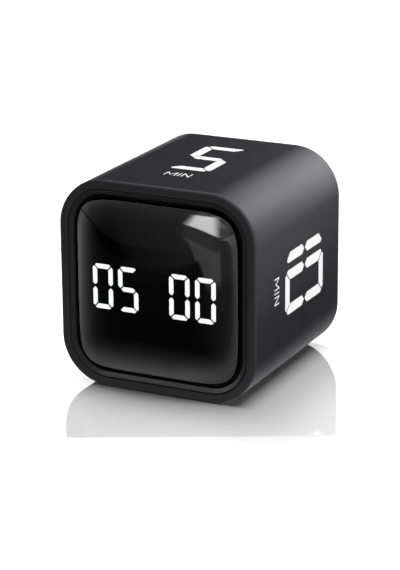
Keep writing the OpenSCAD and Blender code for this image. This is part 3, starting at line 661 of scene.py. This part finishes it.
def phosphor(here, rgb, rim):
    """Small lamp: phosphor fill mottled into its pale package."""
    fill = here.noise(0.35 * MM, 3)
    return here.surface(
        Base_Color=fill.step(0.35, 0.65).blend(rim, rgb),
        Roughness=0.35 + 0.2 * (fill - 0.5),
        Normal=fill.bump(0.01 * MM),
    )


def clear(here, rgb):
    """Clear moulded light pipe with a faintly frosted end."""
    frost = here.noise(0.3 * MM, 2)
    return here.surface(
        Base_Color=frost.blend(times(rgb, 0.94), rgb),
        Roughness=0.10 + 0.12 * frost,
        IOR=CLEAR_INDEX,
        Transmission_Weight=0.85,
        Normal=frost.bump(0.004 * MM),
    )


def key_finish(c):
    """Finish that the keys and the slider share."""
    return finish("key", moulded, c.key, rough=0.46, grain=0.25, depth=0.003, gloss=0.25)


class TIMER_OT_sleeve(bpy.types.Operator):
    """Square sleeve with rounded long edges, and the bosses inside it"""

    bl_idname = "cube_timer.sleeve"
    bl_label = "Sleeve"

    def execute(self, context):
        s, c = context.scene.timer_case, context.scene.timer_colours
        out, inner, front = s.corner_radius, s.corner_radius - s.wall, SLEEVE[0].y
        core = HALF - out
        wall = rounded([(inner, front), (out, front), (out, REAR_Y), (inner, REAR_Y)],
                       (s.front_mouth, s.front_edge, s.rear_edge, s.rear_mouth), steps=9)
        parts = [around(wall, core)]
        reach = core + (inner - s.boss_radius - s.boss_gap) / math.sqrt(2)
        bosses = ((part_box("front_carrier")[1].y, s.front_boss),
                  (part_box("rear_cover")[1].y - s.cover, -s.rear_boss))
        for sx in (-1, 1):
            for sz in (-1, 1):
                spot = (sx * reach, MID_Z + sz * reach)
                along, across = (np.array(v) / math.sqrt(2) for v in ((sx, sz), (-sz, sx)))
                near = (s.boss_radius - s.web_root) * along
                far = (s.boss_radius + s.web_reach) * along
                side = s.web_w / 2 * across
                web = np.array([near - side, far - side, far + side, near + side]) + spot
                for y, deep in bosses:
                    ring = [(s.boss_bore, y), (s.boss_radius, y),
                            (s.boss_radius, y + deep), (s.boss_bore, y + deep)]
                    profile = rounded(ring, s.boss_edge, steps=3)
                    parts.append(turned(profile, spot, closed=True, steps=40))
                    points, faces = prism(web, y, y + deep)
                    parts.append((points[:, [0, 2, 1]], faces))
        look = finish("shell", moulded, c.shell, rough=0.32, grain=0.28, depth=0.003, gloss=0.5)
        piece("sleeve_shell", parts, "case", "shell", look, "body_sleeve", sharp=35)
        return {"FINISHED"}


class TIMER_OT_front(bpy.types.Operator):
    """Front rim, inner bezel and the seal round the lens"""

    bl_idname = "cube_timer.front"
    bl_label = "Front rings"

    def execute(self, context):
        s, c = context.scene.timer_case, context.scene.timer_colours
        lens = context.scene.timer_lens
        core, fine = HALF - s.corner_radius, s.hidden_edge
        out, inner = s.corner_radius - s.rim_inset, s.corner_radius - s.rim_band
        stand, seat = SLEEVE[0].y, RIM_Y + (lens.seat + s.bezel_fall) / 2
        bezel_in = inner - s.bezel_band
        lap, spigot = bezel_in + lens.lap, s.corner_radius - s.wall - s.fit
        bore, end = lap + 2 * s.fit, RIM_Y + s.spigot
        rim = rounded(
            [(inner, RIM_Y), (out, RIM_Y), (out, stand), (spigot, stand),
             (spigot, end), (bore, end), (bore, seat), (inner, seat)],
            (s.rim_lip, s.rim_edge, *[fine] * 6), steps=8)
        bezel_out, collar, foot = inner - s.groove, lap + s.fit, RIM_Y + lens.seat - s.fit
        bezel = rounded(
            [(bezel_out, RIM_Y + s.bezel_drop), (bezel_in, RIM_Y + s.bezel_fall), (bezel_in, foot),
             (collar, foot), (collar, seat), (bezel_out, seat)],
            (s.bezel_edge, s.bezel_lip, *[fine] * 4), steps=8)
        low, top = RIM_Y + lens.seat, RIM_Y + s.seal_top
        seal_out, seal_in = bezel_in - s.fit, bezel_in - lens.gap + s.fit
        seal = rounded([(seal_out, low), (seal_out, top), (seal_in, top), (seal_in, low)],
                       (fine, s.seal_round, s.seal_round, fine), steps=7)
        satin = {"rough": 0.40, "grain": 0.22, "depth": 0.002, "gloss": 0.14}
        trim = finish("trim", moulded, c.trim, **satin)
        rubber = finish("gasket", moulded, c.rubber,
                        rough=0.75, grain=0.15, depth=0.004, gloss=0.05)
        band = finish("band", moulded, c.band, **satin)
        piece("rim_ring", [around(rim, core)], "case", "trim", band, "front_rim")
        piece("bezel_ring", [around(bezel, core)], "case", "trim", trim, "inner_bezel")
        piece("seal_bead", [around(seal, core)], "case", "gasket", rubber, "lens_gasket")
        return {"FINISHED"}


class TIMER_OT_lens(bpy.types.Operator):
    """Domed smoked window with its flange.

    Across the dome the height is rise times one less t cubed, where t is the place's share of the
    way to the edge, measured on rings of the edge's own squircle. A small round of the edge leads
    from the dome's slope there to the upright side.
    """

    bl_idname = "cube_timer.lens"
    bl_label = "Lens"

    def execute(self, context):
        case, s = context.scene.timer_case, context.scene.timer_lens
        core = HALF - case.corner_radius
        edge = case.corner_radius - case.rim_band - case.bezel_band - s.gap
        flange = edge + s.gap + s.lap
        rise, front = s.proud + s.edge, RIM_Y + s.seat
        half, back = core + edge, front + s.flange
        tilt = math.pi / 2 - math.atan(3 * rise / half)

        def power(distance):
            """Power of the squircle that meets the case's rounded square at sides and corners."""
            return math.log(2) / math.log((core + distance) / (core + distance / math.sqrt(2)))

        def rings_of(size, depth, distance):
            """Rings of half widths and depths, with the power that belongs to a distance."""
            size, depth = np.broadcast_arrays(size, depth)
            return np.stack([size, depth, np.full(size.shape, power(distance))], -1)

        def dome(size, height, last):
            """Rings to the share last of the edge: t cubed is the square of the bend's sine."""
            bend = np.linspace(0, math.asin(last ** 1.5), DOME_RINGS)
            level = RIM_Y + s.edge - height * np.cos(bend) ** 2
            return rings_of(size * np.sin(bend) ** (2 / 3), level, edge)

        outside = dome(half, rise, 1 - s.edge_round * (1 - math.cos(tilt)) / half)
        turn = np.linspace(tilt, 0, EDGE_RINGS)[1:]
        level = outside[-1, 1] + s.edge_round * math.sin(tilt)
        corner = rings_of(half - s.edge_round * (1 - np.cos(turn)),
                          level - s.edge_round * np.sin(turn), edge)
        steps = np.vstack([
            rings_of([half], [front], edge), rings_of([core + flange] * 2, [front, back], flange),
            rings_of([half - s.wall], [back], edge)])
        inside = dome(half - s.wall, rise - s.wall, 1)[::-1]
        rings = np.vstack([outside, corner, steps, inside])
        look = finish("smoked_lens", smoked, context.scene.timer_colours.smoke,
                      side=RIM_Y + s.edge + s.clear_edge)
        piece("lens_dome", [squircle_rings(rings)], "case", "smoked_lens", look, "lens")
        return {"FINISHED"}


class TIMER_OT_prints(bpy.types.Operator):
    """Numerals and word on the four sides"""

    bl_idname = "cube_timer.prints"
    bl_label = "Side prints"

    def execute(self, context):
        s, c = context.scene.timer_print, context.scene.timer_colours
        ink = finish("ink", printed, c.ink)
        word = [rounded(outline, s.word_corner, steps=3) + (0, -s.word_ahead)
                for outline in word_outlines(s.word_h, s.word_stroke)]
        shapes = {
            bar: rounded(bar_outline(bar, s.numeral_w, s.numeral_h, s.stroke, s.gap, s.cut),
                         s.bar_corner, steps=4)
            for bar in "abcdefg"
        }
        for turn, (side, digits) in enumerate(SIDES.items()):
            widths = [s.stroke if d == 1 else s.numeral_w for d in digits]
            right = np.cumsum(np.array(widths) + s.space) - s.space
            shifts = right - right[-1] / 2 - s.numeral_w / 2
            bars = [shapes[bar] + (x, s.back) for d, x in zip(digits, shifts) for bar in BARS[d]]
            cos, sin = math.cos(-turn * math.pi / 2), math.sin(-turn * math.pi / 2)
            parts = []
            for outline in bars + word:
                points, faces = prism(outline, HALF - s.sunk, HALF + s.raised)
                u, v, q = points.T
                placed = [u * cos - q * sin, MID_Y + v, MID_Z + u * sin + q * cos]
                parts.append((np.stack(placed, -1), faces))
            piece(side + "_print", parts, "case", "ink", ink, side + "_marking", sharp=35)
        return {"FINISHED"}


class TIMER_OT_keys(bpy.types.Operator):
    """Three round keys with hollowed caps"""

    bl_idname = "cube_timer.keys"
    bl_label = "Keys"

    def execute(self, context):
        s = context.scene.timer_key
        look = key_finish(context.scene.timer_colours)
        bend = np.linspace(0, math.acos(1 - s.dish / s.dish_radius), DISH_RINGS)
        radii, steps = (s.flange_edge, s.edge, *[s.flange_edge] * 6), 6
        for key, body in KEYS.items():
            lo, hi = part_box(key + "_key")
            top, foot = hi.y, lo.y
            shelf = top - s.flange_top
            floor = top - s.dish + s.dish_radius * (1 - np.cos(bend))
            hollow = np.stack([s.dish_radius * np.sin(bend), floor], -1)
            side = rounded(
                [(0.0, top), (s.radius, top), (s.radius, shelf), (s.flange_radius, shelf),
                 (s.flange_radius, shelf - s.flange), (s.stem_radius, shelf - s.flange),
                 (s.stem_radius, foot), (0.0, foot)], radii, steps)[steps:-steps]
            profile = np.vstack([hollow, side, [(0.0, foot)]])
            spot = ((lo.x + hi.x) / 2, (lo.z + hi.z) / 2)
            piece(key + "_cap", [turned(profile, spot)], body, "key", look, key + "_key", sharp=35)
        return {"FINISHED"}


class TIMER_OT_slider(bpy.types.Operator):
    """Sound slider: ribbed grip on a plate behind the cover"""

    bl_idname = "cube_timer.slider"
    bl_label = "Slider"

    def execute(self, context):
        s = context.scene.timer_key
        lo, hi = SLIDER
        mid_x, mid_z = (lo.x + hi.x) / 2, (lo.z + hi.z) / 2
        shelf, top, half = hi.y - s.flange_top, hi.y, s.grip_w / 2
        root, trough = shelf - s.grip_root, top - s.rib_depth
        sides = np.array([-1, -1, 1, 1]) * s.rib_cut / 2
        cuts = np.array([-1, 0, 1])[:, None] * s.grip_w / 4 + sides
        ribs = np.stack([cuts.ravel(), np.tile([top, trough, trough, top], 3)], -1)
        outline = np.vstack([[(-half, root), (-half, top)], ribs, [(half, top), (half, root)]])
        grip = prism(outline + (mid_x, 0), mid_z - s.grip_h / 2, mid_z + s.grip_h / 2)
        corners = [(lo.x, lo.z), (hi.x, lo.z), (hi.x, hi.z), (lo.x, hi.z)]
        base, base_faces = prism(rounded(corners, s.plate_corner, steps=6), lo.y, shelf)
        parts = [grip, (base[:, [0, 2, 1]], base_faces)]
        look = key_finish(context.scene.timer_colours)
        piece("slider_grip", parts, "slider", "key", look, "sound_slider",
              sharp=35, bevel=s.grip_edge)
        return {"FINISHED"}


class TIMER_OT_display(bpy.types.Operator):
    """Finishes of the display module behind the lens"""

    bl_idname = "cube_timer.display"
    bl_label = "Display"

    def execute(self, context):
        c = context.scene.timer_colours
        dress(finish("carrier", moulded, c.trim, rough=0.5, grain=0.3, depth=0.004, gloss=0.2),
              "front_carrier")
        dress(finish("reflector", moulded, c.unlit, rough=0.8, grain=0.2, depth=0.004, gloss=0.05),
              "display_reflector")
        dress(finish("lit_segment", glowing, c.lit, strength=11.5), "segments_lit")
        dress(finish("dark_segment", moulded, c.unlit,
                     rough=0.7, grain=0.2, depth=0.003, gloss=0.05), "segments_unlit")
        dress(finish("circuit_board", circuit, c.board, c.tin), "display_board", "main_board")
        dress(finish("led", phosphor, c.phosphor, c.lamp_case), "segment_leds", "charge_led")
        return {"FINISHED"}


class TIMER_OT_rear(bpy.types.Operator):
    """Finishes of the rear cover, its screws and the light pipe"""

    bl_idname = "cube_timer.rear"
    bl_label = "Rear"

    def execute(self, context):
        c = context.scene.timer_colours
        dress(finish("cover", moulded, c.shell,
                     rough=0.50, grain=0.35, depth=0.008, gloss=0.20, edge=0.12), "rear_cover")
        dress(finish("screw_black", metal, c.screw, rough=0.38, stretch=(6, 6, 6)), "cover_screws")
        dress(finish("clear_pipe", clear, c.pipe), "light_pipe")
        return {"FINISHED"}


class TIMER_OT_inside(bpy.types.Operator):
    """Finishes of the electronics, the cell and the wiring"""

    bl_idname = "cube_timer.inside"
    bl_label = "Inside"

    def execute(self, context):
        c = context.scene.timer_colours
        dress(finish("small_board", circuit, c.small_board, c.tin), "protection_board")
        dress(finish("chip", moulded, c.epoxy, rough=0.55, grain=0.12, depth=0.006, gloss=0.3),
              "display_driver", "timer_chip", "tilt_sensor", "charge_chip", "buzzer", "usb_tongue")
        dress(finish("steel", metal, c.steel, rough=0.30), "crystal", "display_screws",
              "carrier_screws", "board_screws", "slide_switch", "usb_shell")
        dress(finish("foam", foam, c.foam), "battery_pads")
        dress(finish("foil", pouch, c.foil), "battery_cell")
        lo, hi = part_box("battery_leads")
        lead_radius, lead_pitch = 0.6 * MM, 2.2 * MM
        to_middle = lead_radius + lead_pitch / 2
        dress(finish("lead", lead_pair, c.red_lead, c.black_lead, turn_y=(lo.y + hi.y) / 2,
                     front_x=hi.x - to_middle, rear_x=lo.x + to_middle), "battery_leads")
        fitting = {"depth": 0.003, "edge": 0.08}
        dress(finish("connector", moulded, c.connector,
                     rough=0.42, grain=0.3, gloss=0.4, **fitting),
              "battery_socket", "ribbon_sockets")
        dress(finish("ribbon", striped, c.ribbon, c.conductor, pitch=1.0 * MM), "ribbon_cable")
        dress(finish("switch", moulded, c.switch, rough=0.45, grain=0.2, gloss=0.3, **fitting),
              "key_switches")
        dress(finish("plunger", moulded, c.plunger, rough=0.40, grain=0.25, gloss=0.4, **fitting),
              "minute_plunger", "second_plunger", "start_plunger", "slide_lever")
        return {"FINISHED"}


def floor_finish(here, rgb, turn):
    """Pale floor with the slightest drift in tone, polished as far as a line in front of the
    object, square to the camera's turn."""
    matt, polished, mirror, mirror_drop = 0.5, 0.04, 0.33, 0.09
    line_start, line_end = 57 * MM, 60 * MM
    drift = here.noise(0.25, 2)
    x, y, _ = here.axes()
    polish = 1 - (math.sin(turn) * x - math.cos(turn) * y).step(line_start, line_end)
    return here.surface(
        Base_Color=drift.blend(times(rgb, 0.99), times(rgb, 1.01)),
        Roughness=matt - (matt - polished - 0.03 * drift) * polish,
        Metallic=(mirror - mirror_drop * x.step(-10 * MM, 30 * MM)) * polish,
        Specular_IOR_Level=0.0,
    )


def card_finish(here):
    """Card for reflections alone: clear from below, and white from above but for dark zones.

    The front zone starts at a line before the object's foot and holds what the lens mirrors: a
    pale wedge with two slanted sides, and a haze to its left. The right and rear zones shade the
    sleeve, and a patch under the object shades its lower edges. Lengths are in metres.
    """
    strength = 1.15
    x, y, _ = here.axes()
    ahead, right, left = -y, x.most(0), (-x).most(0)

    def right_of(slope, start, end):
        """Rise from 0 to 1 over a line that leans left by slope as it runs ahead; beside the
        object's middle the rise starts and ends at those places."""
        return (x + slope * ahead).step(start, end)

    foot, right_bend, right_soft = 0.0315, 0.15 + 13.2 * right, 0.007 + 0.06 * right
    past = (ahead - foot - right * right_bend) / right_soft
    front = 0.75 * past.step(-1.25, 1.3) + 0.25 * past.step(-0.2, 3.0)
    left_bend, left_soft = 0.6 * (1 - (-4 * left).exp()), 0.004 + 0.14 * left
    left_white = 0.34 * ((foot + left * left_bend - ahead) / left_soft).exp()
    front = front + (1 - left_white.least(1) - front) * left.step(0, 0.08)

    wedge_left = right_of(slope=0.305, start=0.060, end=0.068)
    wedge_right = right_of(slope=-0.2, start=0.022, end=0.030)
    wedge_tone = 0.695 - 0.62 * wedge_right + 0.16 * x.step(0.085, 0.12)
    wedge = ahead.step(0.13, 0.15) * wedge_left * wedge_tone
    haze_tone = 0.11 * ahead.step(0.17, 0.28) + 0.045 * ahead.step(0.06, 0.20)
    haze_left = right_of(slope=0.24, start=-0.10, end=-0.02)
    haze = haze_left * haze_tone * (1 - wedge_left)
    far_end = (ahead - 0.176 * x).step(0.258, 0.262)
    pale = 0.0235 + 0.172 * x.step(0, 0.06) + wedge + haze
    front = front * (1 - pale * (1 - far_end))

    side_start = 0.55 * x.step(0, 0.012) + 0.45 * x.step(0.020, 0.046)
    side_tone = 0.961 - 0.39 * x.step(0.055, 0.105) - 0.352 * x.step(0.11, 0.20)
    side = side_start * y.step(-0.07, 0) * side_tone
    rear = 0.61 * y.step(0.025, 0.045) * x.step(0, 0.02) * (1 - x.step(0.05, 0.12))
    under_x, under_y = abs(x + 0.004).step(0.0215, 0.025), abs(y - 0.002).step(0.029, 0.032)
    under = (1 - under_x) * (1 - under_y)

    tone = front.most(side).most(rear.most(under)).blend((1, 1, 1), (0, 0, 0))
    white = here.node("Emission", None, {"Color": tone, "Strength": strength})
    below = here.node("NewGeometry", out="Backfacing")
    return here.node("MixShader", None, {0: below, 1: white, 2: here.node("BsdfTransparent")})


def edge_glow(across, up):
    """Glow of the lamp behind the object: falls off to both ends and towards the floor."""
    end_fall, low_share = 0.555, 0.45
    return (1 - end_fall * abs(across)).step(0, 1) * (
        low_share + (1 - low_share) * up.step(-0.8, 0.15))


def window_glow(across, up):
    """Glow of the panel that the dome mirrors: a slanted bright pane with a soft right side, on a
    faint panel with a paler wedge below it and a fade at its left.

    Places u and w lie across and up from the middle of the view from the dome, in shares of the
    panel's distance.
    """
    u, w = across / PANEL_AWAY + PANEL_RIGHT, up / PANEL_AWAY + PANEL_UP

    def over(slope, start, end):
        """Rise from 0 to 1 over a line that falls by slope to the right; at u = 0 the rise starts
        and ends at those heights."""
        return (w + slope * u).step(start, end)

    pane_foot = over(slope=0.594, start=-0.105, end=-0.071)
    pane_top = over(slope=0.19, start=0.207, end=0.242)
    pane_right = over(slope=1.523, start=0, end=0.3005)
    pane = pane_foot * (1 - pane_top) * (1 - pane_right)

    wedge_top = over(slope=0.682, start=-0.334, end=-0.304)
    wedge_right = over(slope=1.818, start=0.3636, end=0.4727)
    wedge = 0.040 * (1 - wedge_top) * (1 - wedge_right) - 0.007 * wedge_right
    below = wedge + 0.010 * u.step(0.62, 0.95)
    above = 0.037 - 0.033 * u.step(0.4, 0.8)
    panel = 0.0195 + pane_foot * above + (1 - pane_foot) * below + pane
    panel_left = u.step(-0.328, -0.270) * over(slope=1.6, start=-0.615, end=-0.555)

    fade = (5.29 * w - 3.73 * u - 6.85).exp().least(0.12)
    fade_foot = over(slope=0.045, start=-0.370, end=-0.345)
    return 0.0175 * u.step(-0.56, -0.26) + fade * fade_foot + panel_left * panel


def sheet(name, level, look):
    """Flat square of the stage at a level."""
    ends = ((-1, -1), (1, -1), (1, 1), (-1, 1))
    mesh = bpy.data.meshes.new(name)
    mesh.from_pydata([(x * FLOOR_HALF, y * FLOOR_HALF, level) for x, y in ends], [], [(0, 1, 2, 3)])
    mesh.materials.append(look)
    made = bpy.data.objects.new(name, mesh)
    bpy.context.scene.collection.objects.link(made)
    return made


def softbox(name, place, toward, size, radiance, link, diffuse=True, glow=None):
    """Area lamp at place, shining along toward, of a size (width, height) and a radiance.

    link holds objects and whether the lamp lights them alone (INCLUDE) or all but them (EXCLUDE);
    glow gives the share of the radiance at a place (across, up) measured from the lamp's middle.
    """
    lamp = bpy.data.lights.new(name, "AREA")
    lamp.shape, lamp.size, lamp.size_y = "RECTANGLE", *size
    lamp.energy = 4 * size[0] * size[1] * radiance
    made = bpy.data.objects.new(name, lamp)
    made.location = place
    made.rotation_euler = Vector(toward).to_track_quat("-Z", "Y").to_euler()
    made.visible_camera, made.visible_diffuse = False, diffuse
    bpy.context.scene.collection.objects.link(made)
    if glow:
        lamp.use_nodes = True
        tree = lamp.node_tree
        across, up, _ = Shade(tree).node("TexCoord", {"object": made}, out="Object").axes()
        tree.links.new(glow(across, up).socket, tree.nodes["Emission"].inputs["Strength"])
    objects, state = link
    group = bpy.data.collections.new(name + "_link")
    for item in objects:
        group.objects.link(item)
    for entry in group.collection_objects:
        entry.light_linking.link_state = state
    made.light_linking.receiver_collection = group


def bearing(turn, rise):
    """Unit vectors out from the object at a turn to the right of the front and a rise, then level
    to the right of that, then up from both."""
    flat = math.cos(rise)
    out = Vector((math.sin(turn) * flat, -math.cos(turn) * flat, math.sin(rise)))
    right = Vector((math.cos(turn), math.sin(turn), 0))
    return out, right, out.cross(right)


def add_camera(scene):
    """Camera aimed near the middle of the case, rolled about its view."""
    s, width = scene.timer_camera, 2 * HALF
    back, right, up = bearing(s.turn, s.rise)
    aim = Vector((0, MID_Y, MID_Z)) + width * (s.aim_right * right + s.aim_up * up)
    cos, sin = math.cos(s.roll), math.sin(s.roll)
    axes = Matrix((cos * right + sin * up, cos * up - sin * right, back)).transposed()
    lens = bpy.data.cameras.new("camera")
    lens.lens, lens.sensor_width = s.focal, s.sensor
    camera = bpy.data.objects.new("camera", lens)
    camera.matrix_world = Matrix.Translation(aim + s.away * width * back) @ axes.to_4x4()
    scene.collection.objects.link(camera)
    scene.camera = camera


def add_lamps(floor):
    """Soft lamps for the case, the floor, the bezel's lower side and the dome, and four pale walls
    round the floor."""
    dome, bezel = bpy.data.objects["lens_dome"], bpy.data.objects["bezel_ring"]
    case = ([dome, floor], "EXCLUDE")
    floor_alone, bezel_alone, dome_alone = (([item], "INCLUDE") for item in (floor, bezel, dome))
    softbox("key", place=(0, -0.05, 1.0), toward=(0, 0.05, -0.97),
            size=(1.2, 1.2), radiance=2.6, link=case)
    softbox("fill", place=(0.80, -0.60, 0.36), toward=(-0.80, 0.60, -0.33),
            size=(1.0, 0.7), radiance=2.5, link=case)
    softbox("floor_light", place=(0.08, 0.20, 2.0), toward=(-0.08, -0.20, -2.0),
            size=(2.8, 0.9), radiance=5.6, link=floor_alone)
    softbox("edge", place=(0.80, 2.0, 0.80), toward=(0, -1, 0),
            size=(3.6, 1.6), radiance=2.28, link=case, diffuse=False, glow=edge_glow)
    softbox("sill", place=(-0.47, -0.40, 0.33), toward=(0.47, 0.40, -0.30),
            size=(0.6, 0.6), radiance=4.2, link=bezel_alone, diffuse=False)
    away, side, up = bearing(turn=math.radians(-10), rise=math.radians(18))
    dome_spot = Vector((0.015, -0.031, 0.053))
    panel = dome_spot + PANEL_AWAY * (away + PANEL_RIGHT * side + PANEL_UP * up)
    softbox("window", place=panel, toward=-away,
            size=(0.75, 0.2152), radiance=9.8, link=dome_alone, diffuse=False, glow=window_glow)
    wall_away, wall_h = 1.6, 0.84
    for i in range(4):
        out = Vector((math.sin(i * math.pi / 2), math.cos(i * math.pi / 2), 0))
        softbox("wall_%d" % i, place=wall_away * out + Vector((0, 0, wall_h / 2)), toward=-out,
                size=(2 * wall_away, wall_h), radiance=2.0, link=floor_alone, diffuse=False)


class TIMER_OT_stage(bpy.types.Operator):
    """Camera, floor and studio light"""

    bl_idname = "cube_timer.stage"
    bl_label = "Stage"

    def execute(self, context):
        scene = context.scene
        c = scene.timer_colours
        add_camera(scene)
        level = -scene.timer_print.raised
        polish = finish("floor", floor_finish, c.floor, turn=scene.timer_camera.turn)
        floor = sheet("floor", level, polish)
        card = sheet("card", level + CARD_LIFT, finish("card", card_finish))
        card.visible_camera = card.visible_diffuse = card.visible_shadow = False
        world = bpy.data.worlds.new("studio")
        world.use_nodes = True
        world.node_tree.nodes["Background"].inputs["Color"].default_value = (*c.room, 1)
        scene.world = world
        scene.view_settings.view_transform = "Standard"
        add_lamps(floor)
        return {"FINISHED"}


class TIMER_PT_sidebar(bpy.types.Panel):
    """Sizes, colours and steps of the cube timer"""

    bl_idname = "TIMER_PT_sidebar"
    bl_label = "Cube timer"
    bl_space_type = "VIEW_3D"
    bl_region_type = "UI"
    bl_category = "Cube timer"

    def draw(self, context):
        for step in STEPS:
            self.layout.operator(step.bl_idname)
        for name, group in GROUPS.items():
            box = self.layout.box()
            box.label(text=group.__doc__)
            for field in group.__annotations__:
                box.prop(getattr(context.scene, name), field)


GROUPS = {
    "timer_case": TimerCaseSizes,
    "timer_lens": TimerLensSizes,
    "timer_print": TimerPrintSizes,
    "timer_key": TimerKeySizes,
    "timer_colours": TimerColours,
    "timer_camera": TimerCamera,
}
STEPS = (
    TIMER_OT_sleeve, TIMER_OT_front, TIMER_OT_lens, TIMER_OT_prints, TIMER_OT_keys,
    TIMER_OT_slider, TIMER_OT_display, TIMER_OT_rear, TIMER_OT_inside, TIMER_OT_stage,
)


def register():
    """Register the groups, the steps and the panel."""
    for item in (*GROUPS.values(), *STEPS, TIMER_PT_sidebar):
        bpy.utils.register_class(item)
    for name, group in GROUPS.items():
        setattr(bpy.types.Scene, name, PointerProperty(type=group))


def unregister():
    """Undo register, in the opposite order."""
    for name in GROUPS:
        delattr(bpy.types.Scene, name)
    for item in (TIMER_PT_sidebar, *reversed(STEPS), *reversed(GROUPS.values())):
        bpy.utils.unregister_class(item)


def main():
    """Run the steps in order."""
    register()
    for step in STEPS:
        getattr(bpy.ops.cube_timer, step.bl_idname.split(".")[1])()


if __name__ == "__main__":
    main()
